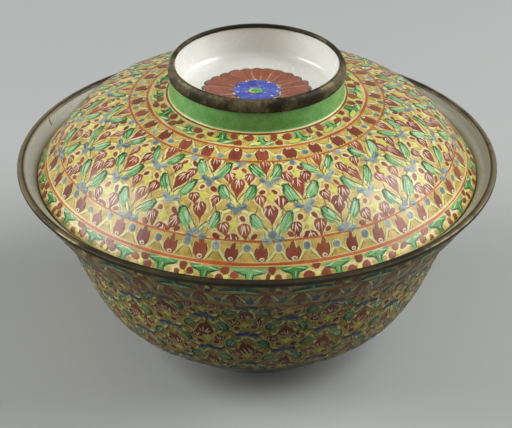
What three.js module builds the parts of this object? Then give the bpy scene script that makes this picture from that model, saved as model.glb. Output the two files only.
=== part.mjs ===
// A porcelain covered bowl with metal bands on its rim and on the ring handle of its cover.
// Millimetres, +Z up. The foot ring stands on z = 0, and the pot's axis is the Z axis.
import * as THREE from 'three';

// The bowl, measured over its rim band
const mouth_diameter = 210;
const bowl_height = 86;
const body_wall = 3.9;
const base_wall = 5.6;

// The foot ring, turned from the same clay
const foot_diameter = 85;
const foot_height = 8.6;
const foot_wall = 5.2;
const foot_bevel = 0.9;
const foot_lean = 0.8;
const recess_depth = 7;
const recess_fillet = 1.6;
const recess_dome = 0.7;

// Both lips are ground thin to take a band
const lip_wall = 0.7;
const lip_taper = 6.5;
const lip_lean = 35;

// The bands: one folded strip each, bedded on the lip, with its ends lapped and soldered
const band_metal = 0.35;
const band_bedding = 0.2;
const band_swell = 0.15;
const band_inner_leg = 0.4;
const rim_band_leg = 2.9;
const ring_band_leg = 5.4;
const lap_length = 8;
const lap_ramp = 1.6;
const lap_step = 0.3;
const rim_lap_angle = 100;
const ring_lap_angle = 286;

// The cover sits inside the flared mouth, this far below the top of the bowl
const seat_depth = 5.9;
const seat_clearance = 0.3;
const cover_wall = 3.8;
const edge_round = 0.9;
const edge_flat = 2;
const dome_rise = 37.8;

// The ring handle, measured over its band, and the well inside it
const ring_diameter = 77.2;
const ring_height = 15;
const ring_wall = 3.1;
const ring_lip_inset = 1.2;
const ring_lip_lean = -30;
const ring_fillet = 1.4;
const well_fillet = 3;
const well_rise = 0.5;
const well_wall = 5;

// How finely the curves are cut
const turns = 60;
const lip_steps = 3;
const taper_steps = 2;
const fillet_steps = 3;
const wall_steps = 14;
const dome_steps = 13;
const band_leg_steps = 2;

// The bowl's outside, as shares of the way from the top of the foot ring to the lip: across, then up
const bowl_outline_shares = [
  [0, 0], [0.145, 0.022], [0.276, 0.071], [0.378, 0.139], [0.46, 0.228], [0.532, 0.332],
  [0.594, 0.444], [0.657, 0.568], [0.729, 0.686], [0.822, 0.791], [0.911, 0.89], [1, 1],
];

// The cover's outside, as shares of the way from its edge to the ring handle: across, then up
const dome_outline_shares = [
  [0, 0], [0.072, 0.156], [0.159, 0.352], [0.239, 0.505], [0.344, 0.648],
  [0.483, 0.77], [0.623, 0.852], [0.798, 0.929], [1, 1],
];

// Where the base wall has thinned to the body wall, as a share of the outline from the foot
const base_blend_share = 0.32;

// Small shapes: the sag of the recess, the round of the foot, and how full some curves are
const recess_sag_share = 0.25;
const foot_round_share = 0.3;
const floor_bend_share = 0.5;
const roof_bend_share = 0.55;
const ring_bend_share = 0.7;
const dome_reach_share = 0.04;

const radians = THREE.MathUtils.degToRad;
const point = (r, z) => new THREE.Vector2(r, z);

// A smooth curve through an outline of shares, between two corners
function through(shares, from, to, steps) {
  const knots = shares.map(([across, up]) => point(
    THREE.MathUtils.lerp(from.x, to.x, across),
    THREE.MathUtils.lerp(from.y, to.y, up),
  ));
  return new THREE.SplineCurve(knots).getSpacedPoints(steps);
}

// An arc of a circle, by its centre, its radius and the angles it runs between, in degrees
function arc(centre, radius, from, to, steps) {
  const points = [];
  for (let i = 0; i <= steps; i += 1) {
    const angle = radians(THREE.MathUtils.lerp(from, to, i / steps));
    points.push(point(centre.x + radius * Math.cos(angle), centre.y + radius * Math.sin(angle)));
  }
  return points;
}

// The distance along a path to each of its points
function lengths(path) {
  const along = [0];
  for (let i = 1; i < path.length; i += 1) along.push(along[i - 1] + path[i].distanceTo(path[i - 1]));
  return along;
}

// The directions square to a path, on its left as it runs
function leftNormals(path) {
  return path.map((_, i) => {
    const before = path[Math.max(i - 1, 0)];
    const after = path[Math.min(i + 1, path.length - 1)];
    const run = after.clone().sub(before).normalize();
    return point(-run.y, run.x);
  });
}

// A path moved to its left by a distance, which may change from point to point
function moved(path, distance) {
  const normals = leftNormals(path);
  return path.map((p, i) => p.clone().addScaledVector(normals[i], distance(i)));
}

// The piece of a path between two distances along it
function cut(path, from, to, steps) {
  const along = lengths(path);
  const at = (wanted) => {
    const end = Math.max(1, along.findIndex((d) => d >= wanted));
    const share = (wanted - along[end - 1]) / (along[end] - along[end - 1]);
    return path[end - 1].clone().lerp(path[end], share);
  };
  return Array.from({ length: steps + 1 }, (_, i) => at(THREE.MathUtils.lerp(from, to, i / steps)));
}

// Turns a profile that starts and ends on the axis into one solid
function turned(profile) {
  const geometry = new THREE.LatheGeometry(profile, turns);
  geometry.rotateX(Math.PI / 2);
  return geometry;
}

// The rounded edge of a lip whose outside leans out by some degrees, running from outside to inside
function lipEdge(centre, lean) {
  return arc(centre, lip_wall / 2, -lean, 180 - lean, lip_steps);
}

// How thick a wall is at some distance from its lip
function wallAt(fromLip, full) {
  return THREE.MathUtils.lerp(lip_wall, full, THREE.MathUtils.smoothstep(fromLip, 0, lip_taper));
}

const band_outside = band_bedding + band_metal;
const rim_lip = point(
  mouth_diameter / 2 - band_outside - lip_wall / 2,
  bowl_height - band_outside - lip_wall / 2,
);
const rim_edge = lipEdge(rim_lip, lip_lean);
const foot_top = point(foot_diameter / 2 + foot_lean, foot_height);

// The bowl's outside, with closer points where the lip thins
function bowlOutside() {
  const path = through(bowl_outline_shares, foot_top, rim_edge[0], wall_steps * taper_steps);
  const total = lengths(path)[path.length - 1];
  const body = cut(path, 0, total - lip_taper, wall_steps);
  return [...body, ...cut(path, total - lip_taper, total, taper_steps).slice(1)];
}
const bowl_outside = bowlOutside();

// The bowl's inside follows its outside, thin at the lip and thicker towards the base
function bowlInside() {
  const along = lengths(bowl_outside);
  const total = along[along.length - 1];
  const inner = moved(bowl_outside, (i) => {
    const low = 1 - THREE.MathUtils.smoothstep(along[i] / total, 0, base_blend_share);
    return wallAt(total - along[i], THREE.MathUtils.lerp(body_wall, base_wall, low));
  });
  const floor = point(0, recess_depth + recess_dome + base_wall);
  const well = inner.filter((p) => p.y > floor.y && p.x > foot_diameter / 2);
  const bottom = point(well[0].x * floor_bend_share, floor.y);
  const bed = new THREE.QuadraticBezierCurve(floor, bottom, well[0]).getPoints(fillet_steps);
  return [...bed.slice(0, -1), ...well];
}
const bowl_inside = bowlInside();

function bowlProfile() {
  const out = foot_diameter / 2;
  const inn = out - foot_wall;
  const ceiling = recess_depth + recess_dome;
  const under = [
    point(0, ceiling),
    point(inn / 2, ceiling - recess_dome * recess_sag_share),
    ...arc(point(inn - recess_fillet, recess_depth - recess_fillet), recess_fillet, 90, 0, fillet_steps),
    point(inn + foot_bevel * foot_round_share, foot_bevel),
    point(inn + foot_bevel, 0),
    point(out - foot_bevel, 0),
    point(out - foot_bevel * foot_round_share, foot_bevel),
    point(out, foot_height / 2),
  ];
  return [...under, ...bowl_outside, ...rim_edge.slice(1, -1), ...bowl_inside.slice().reverse()];
}

// Where the cover's rounded edge rests on the inside of the flared mouth
function seat() {
  const height = bowl_height - seat_depth;
  const above = bowl_inside.findIndex((p) => p.y >= height);
  const low = bowl_inside[above - 1];
  const high = bowl_inside[above];
  const touch = low.clone().lerp(high, (height - low.y) / (high.y - low.y));
  const run = high.clone().sub(low).normalize();
  return touch.addScaledVector(point(-run.y, run.x), edge_round + seat_clearance);
}
const edge_centre = seat();

const ring_radius = ring_diameter / 2 - band_outside - band_swell;
const dome_top = point(ring_radius, edge_centre.y + dome_rise);
const ring_top = dome_top.y + ring_height;
const ring_lip = point(
  ring_radius - ring_lip_inset - lip_wall / 2,
  ring_top - band_outside - lip_wall / 2,
);
const ring_edge = lipEdge(ring_lip, ring_lip_lean);
const ring_shoulder = ring_top - ring_band_leg;
const ring_bend = new THREE.QuadraticBezierCurve(
  point(ring_radius, ring_shoulder),
  point(ring_radius, THREE.MathUtils.lerp(ring_shoulder, ring_edge[0].y, ring_bend_share)),
  ring_edge[0],
).getPoints(band_leg_steps);

// The dome, from its edge inwards, started where it leaves the rounded edge
function domePath() {
  const [across, up] = dome_outline_shares[1];
  const run = point((dome_top.x - edge_centre.x) * across, dome_rise * up).normalize();
  const start = edge_centre.clone().addScaledVector(point(run.y, -run.x), edge_round);
  return through(dome_outline_shares, start, dome_top, dome_steps);
}
const dome = domePath();

function coverEdge() {
  const leave = THREE.MathUtils.radToDeg(Math.atan2(dome[0].y - edge_centre.y, dome[0].x - edge_centre.x));
  return [
    point(edge_centre.x - edge_flat, edge_centre.y - edge_round),
    ...arc(edge_centre, edge_round, -90, leave, fillet_steps),
  ];
}

// The underside follows the dome, and closes flat under the well
function coverInside() {
  const inner = moved(dome, () => cover_wall);
  const roof = point(0, dome_top.y - well_wall);
  const shell = inner.filter((p) => p.y < roof.y && p.y > edge_centre.y && p.x > ring_radius - ring_wall);
  const last = shell[shell.length - 1];
  const shoulder = point(last.x * roof_bend_share, roof.y);
  const ceiling = new THREE.QuadraticBezierCurve(last, shoulder, roof).getPoints(fillet_steps);
  return [...shell, ...ceiling.slice(1)];
}

// From the foot of the ring handle over its lip and down into the well
function ringPath() {
  const foot = point(ring_radius + ring_fillet, dome_top.y + ring_fillet);
  const inside = ring_radius - ring_wall;
  const floor = dome_top.y + well_rise;
  return [
    ...arc(foot, ring_fillet, 250, 180, fillet_steps),
    ...ring_bend.slice(0, -1),
    ...ring_edge,
    ...arc(point(inside - well_fillet, floor + well_fillet), well_fillet, 0, -90, fillet_steps),
    point(0, floor - well_rise),
  ];
}

function coverProfile() {
  const reach = ring_radius + ring_fillet + ring_diameter * dome_reach_share;
  const outside = dome.filter((p) => p.x > reach);
  return [...coverInside().reverse(), ...coverEdge(), ...outside.slice(1), ...ringPath()];
}

// A band: the strip follows a lip, swelling a little on the outside, and its lap stands one strip proud
function band(lip, lapAngle) {
  const along = lengths(lip);
  const total = along[along.length - 1];
  const swell = (i) => band_swell * Math.sin(Math.PI * along[i] / total);
  const face = (extra) => moved(lip, (i) => -(band_outside + extra + swell(i)));
  const inner = moved(lip, () => -band_bedding).reverse();
  const loops = { plain: [...face(0), ...inner], lapped: [...face(band_metal), ...inner] };
  const reach = Math.max(...loops.plain.map((p) => p.x));
  const angles = Array.from({ length: turns }, (_, i) => 2 * Math.PI * i / turns);
  const start = radians(lapAngle);
  const rise = start + lap_ramp / reach;
  const end = rise + lap_length / reach;
  const sections = angles
    .filter((a) => a < start || a > end + lap_step / reach)
    .map((a) => [a, loops.plain]);
  angles.filter((a) => a > rise && a < end).forEach((a) => sections.push([a, loops.lapped]));
  sections.push([start, loops.plain], [rise, loops.lapped], [end, loops.lapped]);
  sections.push([end + lap_step / reach, loops.plain]);
  sections.sort((a, b) => a[0] - b[0]);
  return swept(sections);
}

// Joins closed sections at rising angles round the axis into one ring
function swept(sections) {
  const count = sections[0][1].length;
  const positions = [];
  const faces = [];
  sections.forEach(([angle, loop], s) => {
    loop.forEach((p, i) => {
      positions.push(p.x * Math.cos(angle), p.x * Math.sin(angle), p.y);
      const next = (i + 1) % count;
      const here = s * count;
      const there = ((s + 1) % sections.length) * count;
      faces.push(here + i, there + i, there + next, here + i, there + next, here + next);
    });
  });
  const geometry = new THREE.BufferGeometry();
  geometry.setAttribute('position', new THREE.Float32BufferAttribute(positions, 3));
  geometry.setIndex(faces);
  geometry.computeVertexNormals();
  return geometry;
}

// The stretch of the bowl's lip that its band covers, from outside to inside
function rimLip() {
  const along = lengths(bowl_outside);
  const total = along[along.length - 1];
  const leg = cut(bowl_outside, total - rim_band_leg, total, band_leg_steps);
  const inner = cut(bowl_inside.slice().reverse(), 0, band_inner_leg, 1);
  return [...leg, ...rim_edge.slice(1), inner[1]];
}

function ringLip() {
  const edge = ring_edge[ring_edge.length - 1];
  return [...ring_bend, ...ring_edge.slice(1), edge.clone().setY(edge.y - band_inner_leg)];
}

function piece(name, geometry, look) {
  const mesh = new THREE.Mesh(geometry, new THREE.MeshStandardMaterial(look));
  mesh.name = name;
  return mesh;
}

const enamelled = { color: 0xb09a58, roughness: 0.22, metalness: 0 };
const patinated = { color: 0x4a4230, roughness: 0.5, metalness: 0.85 };

const covered_bowl = new THREE.Group();
covered_bowl.add(
  piece('bowl', turned(bowlProfile()), enamelled),
  piece('bowl_rim_band', band(rimLip(), rim_lap_angle), patinated),
  piece('cover', turned(coverProfile()), enamelled),
  piece('cover_ring_band', band(ringLip(), ring_lap_angle), patinated),
);

export default covered_bowl;
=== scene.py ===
"""A covered bowl of painted porcelain, with metal bands round its lip and round the ring of its cover"""
import math
from typing import NamedTuple

import bpy
import numpy as np
from bpy.props import FloatProperty, FloatVectorProperty, IntProperty, PointerProperty
from bpy.types import Operator, Panel, PropertyGroup
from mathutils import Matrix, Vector


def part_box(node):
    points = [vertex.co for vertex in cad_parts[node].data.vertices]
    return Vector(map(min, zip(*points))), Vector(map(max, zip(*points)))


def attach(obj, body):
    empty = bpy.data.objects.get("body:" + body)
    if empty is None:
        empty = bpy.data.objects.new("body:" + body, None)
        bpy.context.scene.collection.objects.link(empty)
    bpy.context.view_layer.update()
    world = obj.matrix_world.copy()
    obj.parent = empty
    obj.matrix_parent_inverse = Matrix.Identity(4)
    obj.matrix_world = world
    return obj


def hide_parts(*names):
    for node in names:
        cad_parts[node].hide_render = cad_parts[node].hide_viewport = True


bl_info = {
    "name": "Painted covered bowl",
    "version": (1, 0, 0),
    "blender": (4, 5, 0),
    "location": "3D View > Sidebar > Covered bowl",
    "description": "Builds a covered bowl of painted porcelain with metal bands round the packed model",
    "category": "Add Mesh",
}

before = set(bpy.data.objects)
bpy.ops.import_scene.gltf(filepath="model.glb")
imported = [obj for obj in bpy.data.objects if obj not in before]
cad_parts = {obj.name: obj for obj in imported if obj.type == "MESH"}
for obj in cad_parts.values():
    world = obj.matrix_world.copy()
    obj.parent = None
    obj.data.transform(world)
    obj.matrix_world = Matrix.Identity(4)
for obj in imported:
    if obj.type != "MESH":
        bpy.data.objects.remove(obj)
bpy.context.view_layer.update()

MM = 0.001
FULL_TURN = 2 * math.pi
FRONT = -math.pi / 2


def paint(red, green, blue):
    """A colour given as it looks on a screen, from 0 to 255, as Blender's linear one"""
    shares = [channel / 255 for channel in (red, green, blue)]
    return tuple(c / 12.92 if c <= 0.04045 else ((c + 0.055) / 1.055) ** 2.4 for c in shares)


def length(name, description, default, **limits):
    return FloatProperty(name=name, description=description, default=default * MM, min=0,
                         unit="LENGTH", precision=5, **limits)


def colour(name, description, *screen):
    return FloatVectorProperty(name=name, description=description, default=paint(*screen),
                               size=3, min=0, max=1, subtype="COLOR")


def amount(name, description, default, most=1.0):
    return FloatProperty(name=name, description=description, default=default, min=0, max=most,
                         subtype="FACTOR")


def power(name, description, default):
    return FloatProperty(name=name, description=description, default=default, min=0, unit="POWER")


def number(name, description, default):
    return IntProperty(name=name, description=description, default=default, min=3, max=400)


# Sizes

class PotSizes(PropertyGroup):
    """The two pieces of porcelain"""
    mouth_width: length("Mouth width", "Across the mouth, over the metal band", 210)
    bowl_height: length("Bowl height", "From the table to the top of the bowl's band", 86)
    body_wall: length("Bowl wall", "Thickness of the bowl above its base", 3.9)
    base_wall: length("Base", "Thickness of the bowl's floor", 5.6)
    foot_width: length("Foot width", "Across the foot ring", 85)
    foot_height: length("Foot height", "Height of the foot ring outside", 8.6)
    foot_wall: length("Foot wall", "Thickness of the foot ring", 5.2)
    recess_depth: length("Recess", "Depth of the recess inside the foot ring", 7)
    cover_width: length("Cover width", "Across the cover's edge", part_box("cover")[1].x * 2000)
    cover_base: length("Cover base", "Height of the cover's edge when it is on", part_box("cover")[0].z * 1000)
    cover_wall: length("Cover wall", "Thickness of the cover", 3.8)
    dome_rise: length("Dome rise", "From the cover's edge to the foot of its ring", 37.8)
    ring_width: length("Ring width", "Across the ring handle, over its metal band", 77.2)
    ring_height: length("Ring height", "Height of the ring handle, over its metal band", 15)
    ring_wall: length("Ring wall", "Thickness of the ring handle", 3.1)
    sides: number("Sides", "Faces round the pot", 240)


class BandSizes(PropertyGroup):
    """The folded metal strips"""
    metal: length("Metal", "Thickness of the strip", 0.35)
    bedding: length("Bedding", "Gap between the strip and the lip", 0.2)
    swell: length("Swell", "How far the strip bulges", 0.15)
    inner_leg: length("Inner leg", "How far the strip reaches down inside", 0.4)
    rim_shelf: length("Rim shelf", "How far the bowl's strip stands over the glaze inside the lip", 1.95)
    rim_leg: length("Rim leg", "How far the bowl's strip reaches down outside", 2.2)
    ring_leg: length("Ring leg", "How far the cover's strip reaches down outside", 5.4)
    lap: length("Lap", "How far the ends of a strip lie over each other", 8)
    dents: length("Dents", "How far the strip wanders from a true circle", 0.08)


class PaintSettings(PropertyGroup):
    """How the enamels are laid out"""
    cover_cells: number("Cover cells", "Flower columns round the cover", 17)
    cover_flames: number("Cover flames", "Flames round the cover's lower border", 44)
    edge_flowers: number("Edge flowers", "Flowers round the cover's edge", 32)
    top_petals: number("Top petals", "Petals round the cover's upper border", 28)
    top_flowers: number("Top flowers", "Flowers round the foot of the ring", 16)
    bowl_cells: number("Bowl cells", "Flower columns round the bowl", 15)
    bowl_flames: number("Bowl flames", "Flames under the bowl's lip", 44)
    bowl_flowers: number("Bowl flowers", "Flowers under the bowl's lip", 22)
    rosette_petals: number("Rosette petals", "Petals of the rosette in the ring", 26)
    unevenness: amount("Unevenness", "How unsteady the painter's hand is", 1.0, 3.0)
    thickness: length("Enamel", "How high a full brush mark stands", 0.075)
    seed: IntProperty(name="Seed", description="Start of the painter's unevenness", default=7, min=0)


class PaintColours(PropertyGroup):
    """The glaze and the enamels"""
    glaze: colour("Glaze", "White glaze", 234, 235, 228)
    bare_clay: colour("Bare clay", "Unglazed edge of the foot", 196, 178, 146)
    ground: colour("Ground", "Yellow ochre behind the pattern", 166, 140, 54)
    ground_light: colour("Light ground", "Where the ochre is thin", 223, 194, 104)
    cream: colour("Cream", "Glaze left bare round each mark", 214, 194, 116)
    cream_light: colour("Light cream", "Where the bare glaze is palest", 244, 234, 174)
    red: colour("Brick red", "Buds, flames and dots", 120, 46, 20)
    red_light: colour("Light red", "Where the red is thin", 164, 84, 50)
    green: colour("Leaf green", "Leaves and scrolls", 62, 134, 54)
    green_light: colour("Light green", "Where the green is thin", 134, 192, 122)
    green_pale: colour("Pale green", "Highlights of the leaves", 190, 222, 176)
    yellow: colour("Yellow", "Stars and stems", 212, 208, 74)
    yellow_light: colour("Light yellow", "Where the yellow is thin", 240, 236, 142)
    straw: colour("Straw", "Forked stems and twigs", 226, 224, 158)
    blue: colour("Flower blue", "Small flowers and discs", 98, 118, 124)
    blue_light: colour("Light blue", "Where the blue is thin", 170, 182, 178)
    # The bowl's enamels are darker copies of the cover's, with some hues of their own; the darkening is
    # painted shade for the bowl's flank under its flaring lip
    bowl_ground: colour("Bowl ground", "Brown ochre behind the bowl's pattern", 140, 116, 52)
    bowl_ground_light: colour("Light bowl ground", "Where the bowl's ochre is thin", 188, 168, 92)
    bowl_cream: colour("Bowl cream", "Glaze left bare round the bowl's marks", 186, 168, 96)
    bowl_red: colour("Bowl red", "Buds and flames of the bowl", 106, 48, 18)
    bowl_red_light: colour("Light bowl red", "Where the bowl's red is thin", 146, 86, 40)
    bowl_green: colour("Bowl green", "Blue green leaves of the bowl", 46, 104, 72)
    bowl_green_light: colour("Light bowl green", "Where the bowl's green is thin", 84, 142, 100)
    bowl_blue: colour("Bowl blue", "Small flowers and discs of the bowl", 62, 72, 116)
    bowl_blue_light: colour("Light bowl blue", "Where the bowl's blue is thin", 96, 108, 144)
    white: colour("White", "Fine strokes on buds and leaves", 238, 212, 184)
    dark: colour("Outline", "Fine dark outlines", 50, 54, 28)
    orange: colour("Line red", "Orange red lines between the borders", 180, 76, 4)
    orange_light: colour("Light line red", "Where the line is thin", 218, 126, 62)
    ring_green: colour("Ring green", "Plain green of the ring handle", 92, 162, 78)
    ring_thin: colour("Thin ring green", "Where the ring's green is thin", 134, 190, 108)
    rosette_red: colour("Rosette red", "Petals of the rosette", 138, 70, 48)
    rosette_light: colour("Light rosette red", "Where the rosette's red is thin", 166, 94, 68)
    rosette_blue: colour("Rosette blue", "Middle of the rosette", 48, 62, 164)
    rosette_pale: colour("Pale rosette blue", "Where the rosette's blue is thin", 100, 116, 196)


class MetalColours(PropertyGroup):
    """The patinated strips"""
    patina: colour("Patina", "Dark skin of the metal", 34, 29, 14)
    skin: colour("Light skin", "Where the skin is thin", 60, 52, 30)
    # Painted shade: what the strips are darkened to in their groove and towards their low edge
    strip_shade: colour("Dirt", "Painted shade in the groove and under the low edge", 22, 20, 10)
    brass: colour("Brass", "Where the skin is rubbed off", 136, 122, 90)
    # Painted highlight: the pale line along the inner fold of the bowl's strip, at the lit sides
    pale: colour("Pale fold", "Painted highlight along the inner fold, at the lit sides", 192, 184, 152)
    rim_rubbed: amount("Rim rubbed", "Share of the bowl's strip that is rubbed bright", 0.12)
    ring_rubbed: amount("Ring rubbed", "Share of the cover's strip that is rubbed bright", 0.5)


class StageSettings(PropertyGroup):
    """The table, the lamps and the air round them"""
    table: colour("Table", "Colour of the table and the air behind it", 178, 181, 179)
    left_lamp: power("Left lamp", "Power of the soft lamp on the left", 16.2)
    right_lamp: power("Right lamp", "Power of the soft lamp on the right", 20.5)
    top_lamp: power("Top lamp", "Power of the soft lamp above and in front", 1.9)
    sky: amount("Sky", "Strength of the even light from all round", 0.04)
    paleness: amount("Table paleness", "How much the table is lifted for the camera only", 0.015)


GROUPS = {
    "pot": PotSizes, "bands": BandSizes, "painting": PaintSettings, "paints": PaintColours,
    "metals": MetalColours, "studio": StageSettings,
}


def settings(name):
    return getattr(bpy.context.scene, "covered_bowl_" + name)


# Outlines, as lists of distance from the axis and height, in millimetres

BOWL_OUTLINE = [
    (0, 0), (0.145, 0.022), (0.276, 0.071), (0.378, 0.139), (0.46, 0.228), (0.532, 0.332),
    (0.594, 0.444), (0.657, 0.568), (0.729, 0.686), (0.822, 0.791), (0.911, 0.89), (1, 1),
]
DOME_OUTLINE = [
    (0, 0), (0.072, 0.156), (0.159, 0.352), (0.239, 0.505), (0.344, 0.648),
    (0.483, 0.77), (0.623, 0.852), (0.798, 0.929), (1, 1),
]
OUTLINE_GAP = 1.4    # between the points of an outline
LIP_WALL = 0.7
LIP_TAPER = 6.5      # how far below the lip the wall has its full thickness
BASE_SHARE = 0.32    # share of the bowl's outline along which its floor thins to its wall
FOOT_SPREAD = 0.8    # how much the wall starts outside the foot ring
FOOT_ROUND = [(0.27, 0.9), (0.5, 0.3), (0.9, 0)]
RECESS_ROUND = 1.6
FLOOR_CROWN = 0.7    # how much the floor rises to the middle of the recess
EDGE_ROUND = 0.9     # radius of the cover's edge
ROOF_DROP = 5        # from the foot of the ring to the cover's ceiling
DOME_END = 1.6       # the dome stops this far outside the ring
RING_FILLET = 1.4
RING_LEAN = 1.2      # how far the ring's lip leans in
WELL_FILLET = 3
WELL_DIP = 0.5


def along(path):
    """The distance along a path to each of its points"""
    return np.concatenate([[0], np.cumsum(np.hypot(*np.diff(path, axis=0).T))])


def spaced(path, gap):
    """The same path with points an even gap apart"""
    path = np.asarray(path, float)
    reach = along(path)
    stops = np.linspace(0, reach[-1], max(2, round(reach[-1] / gap) + 1))
    return np.stack([np.interp(stops, reach, path[:, 0]), np.interp(stops, reach, path[:, 1])], 1)


def smooth(knots, gap):
    """A smooth curve through some points"""
    knots = np.asarray(knots, float)
    padded = np.concatenate([knots[:1], knots, knots[-1:]])
    points = []
    for a, b, c, d in zip(padded, padded[1:], padded[2:], padded[3:]):
        go, come = (c - a) / 2, (d - b) / 2
        cube, square = 2 * b - 2 * c + go + come, -3 * b + 3 * c - 2 * go - come
        points += [cube * t ** 3 + square * t ** 2 + go * t + b
                   for t in np.linspace(0, 1, 16, endpoint=False)]
    return spaced(points + [knots[-1]], gap)


def between(shares, start, end):
    """An outline of shares, laid between two points"""
    start, end = np.array(start), np.array(end)
    return start + np.array(shares) * (end - start)


def arc(centre, radius, start, end, steps):
    turn = np.radians(np.linspace(start, end, steps + 1))
    return np.stack([centre[0] + radius * np.cos(turn), centre[1] + radius * np.sin(turn)], 1)


def bent(start, corner, end, steps):
    """A curve from one point to another that is pulled towards a corner"""
    t = np.linspace(0, 1, steps + 1)[:, None]
    return (1 - t) ** 2 * np.array(start) + 2 * t * (1 - t) * np.array(corner) + t ** 2 * np.array(end)


def moved(path, distance):
    """A path moved to its left by some distance, which may change along it"""
    run = np.gradient(path, axis=0)
    run /= np.hypot(*run.T)[:, None]
    return path + np.stack([-run[:, 1], run[:, 0]], 1) * np.broadcast_to(distance, len(path))[:, None]


def ease(value, low, high):
    t = np.clip((value - low) / (high - low), 0, 1)
    return t * t * (3 - 2 * t)


def mm(group, name):
    return getattr(settings(group), name) / MM


def strip_thickness():
    return mm("bands", "metal") + mm("bands", "bedding")


def bowl_outside():
    """From the top of the foot ring to the lip, then the lip's rounded edge"""
    lip = (mm("pot", "mouth_width") / 2 - strip_thickness() - LIP_WALL / 2,
           mm("pot", "bowl_height") - strip_thickness() - LIP_WALL / 2)
    edge = arc(lip, LIP_WALL / 2, -35, 145, 6)
    foot_top = (mm("pot", "foot_width") / 2 + FOOT_SPREAD, mm("pot", "foot_height"))
    return smooth(between(BOWL_OUTLINE, foot_top, edge[0]), OUTLINE_GAP), edge


def bowl_inside():
    """From the middle of the floor to the lip"""
    outside, _ = bowl_outside()
    reach = along(outside)
    low = 1 - ease(reach / reach[-1], 0, BASE_SHARE)
    full = mm("pot", "body_wall") + (mm("pot", "base_wall") - mm("pot", "body_wall")) * low
    wall = LIP_WALL + (full - LIP_WALL) * ease(reach[-1] - reach, 0, LIP_TAPER)
    inner = moved(outside, wall)
    floor = mm("pot", "recess_depth") + FLOOR_CROWN + mm("pot", "base_wall")
    side = inner[(inner[:, 1] > floor) & (inner[:, 0] > mm("pot", "foot_width") / 2)]
    bed = bent((0, floor), (side[0][0] * 0.5, floor), side[0], 14)
    return np.concatenate([bed[:-1], side])


def bowl_sections():
    """The bowl's whole outline from the axis below to the axis inside, as finishes with their stretches"""
    out = mm("pot", "foot_width") / 2
    inn = out - mm("pot", "foot_wall")
    deep = mm("pot", "recess_depth")
    crown = deep + FLOOR_CROWN
    outside, edge = bowl_outside()
    inner_round = [(inn + x, z) for x, z in FOOT_ROUND]
    outer_round = [(out - x, z) for x, z in FOOT_ROUND[::-1]]
    return [
        ("glaze", np.concatenate([
            bent((0, crown), (inn / 2, crown), (inn - 3, deep), 8),
            arc((inn - RECESS_ROUND, deep - RECESS_ROUND), RECESS_ROUND, 90, 0, 5), inner_round[:1]])),
        ("clay", np.array(inner_round + outer_round[:2])),
        ("glaze", np.concatenate([outer_round[2:], [(out, mm("pot", "foot_height") / 2)], outside[:1]])),
        ("ground", outside),
        ("inside", np.concatenate([edge, bowl_inside()[::-1]])),
    ]


def cover_edge():
    """The middle of the cover's rounded edge"""
    return np.array([mm("pot", "cover_width") / 2 - EDGE_ROUND, mm("pot", "cover_base") + EDGE_ROUND])


def ring_radius():
    return mm("pot", "ring_width") / 2 - strip_thickness() - mm("bands", "swell")


def dome_top():
    return np.array([ring_radius(), cover_edge()[1] + mm("pot", "dome_rise")])


def dome():
    """From the cover's rounded edge to the foot of its ring"""
    shape = between(DOME_OUTLINE[:2], (0, 0), dome_top() - cover_edge())
    run = shape[1] / np.hypot(*shape[1])
    start = cover_edge() + EDGE_ROUND * np.array([run[1], -run[0]])
    return smooth(between(DOME_OUTLINE, start, dome_top()), OUTLINE_GAP)


def open_dome():
    """The dome as far as the fillet of its ring"""
    shell = dome()
    return shell[shell[:, 0] > ring_radius() + DOME_END]


def ring_lip():
    """The outside of the ring's lip, then its rounded edge"""
    top = dome_top()[1] + mm("pot", "ring_height")
    lip = (ring_radius() - RING_LEAN - LIP_WALL / 2, top - strip_thickness() - LIP_WALL / 2)
    edge = arc(lip, LIP_WALL / 2, 30, 210, 6)
    shoulder = top - mm("bands", "ring_leg")
    pull = shoulder + (edge[0][1] - shoulder) * 0.7
    return bent((ring_radius(), shoulder), (ring_radius(), pull), edge[0], 6), edge


def ring_foot():
    """The fillet between the dome and the ring"""
    return arc((ring_radius() + RING_FILLET, dome_top()[1] + RING_FILLET), RING_FILLET, 250, 180, 5)


def well():
    """The floor of the ring handle, from its fillet to the middle"""
    inside = ring_radius() - mm("pot", "ring_wall")
    floor = dome_top()[1] + WELL_DIP
    fillet = arc((inside - WELL_FILLET, floor + WELL_FILLET), WELL_FILLET, 0, -90, 7)
    return fillet, bent(fillet[-1], (inside / 2, floor - WELL_DIP), (0, floor - WELL_DIP), 12)


def cover_sections():
    """The cover's whole outline from the axis below to the axis above, as finishes with their stretches"""
    shell = dome()
    inner = moved(shell, mm("pot", "cover_wall"))
    roof = dome_top()[1] - ROOF_DROP
    inner = inner[(inner[:, 1] < roof) & (inner[:, 1] > cover_edge()[1])
                  & (inner[:, 0] > ring_radius() - mm("pot", "ring_wall"))]
    ceiling = bent((0, roof), (inner[-1][0] * 0.55, roof), inner[-1], 12)
    leave = math.degrees(math.atan2(*(shell[0] - cover_edge())[::-1]))
    edge = arc(cover_edge(), EDGE_ROUND, -90, leave, 5)
    foot = ring_foot()
    side, lip = ring_lip()
    fillet, floor = well()
    return [
        ("glaze", np.concatenate([ceiling, inner[::-1][1:], [(cover_edge()[0] - 2, edge[0][1])]])),
        ("clay", edge[:-1]),
        ("ground", np.concatenate([open_dome(), foot[:3]])),
        ("ring", np.concatenate([foot[3:], spaced([foot[-1], side[0]], 1.2)[1:], side[1:]])),
        ("glaze", np.concatenate([lip, fillet, floor[1:]])),
    ]


# Work on meshes

def lone(obj):
    """Leaves one object selected and active"""
    bpy.ops.object.select_all(action="DESELECT")
    obj.select_set(True)
    bpy.context.view_layer.objects.active = obj


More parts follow.
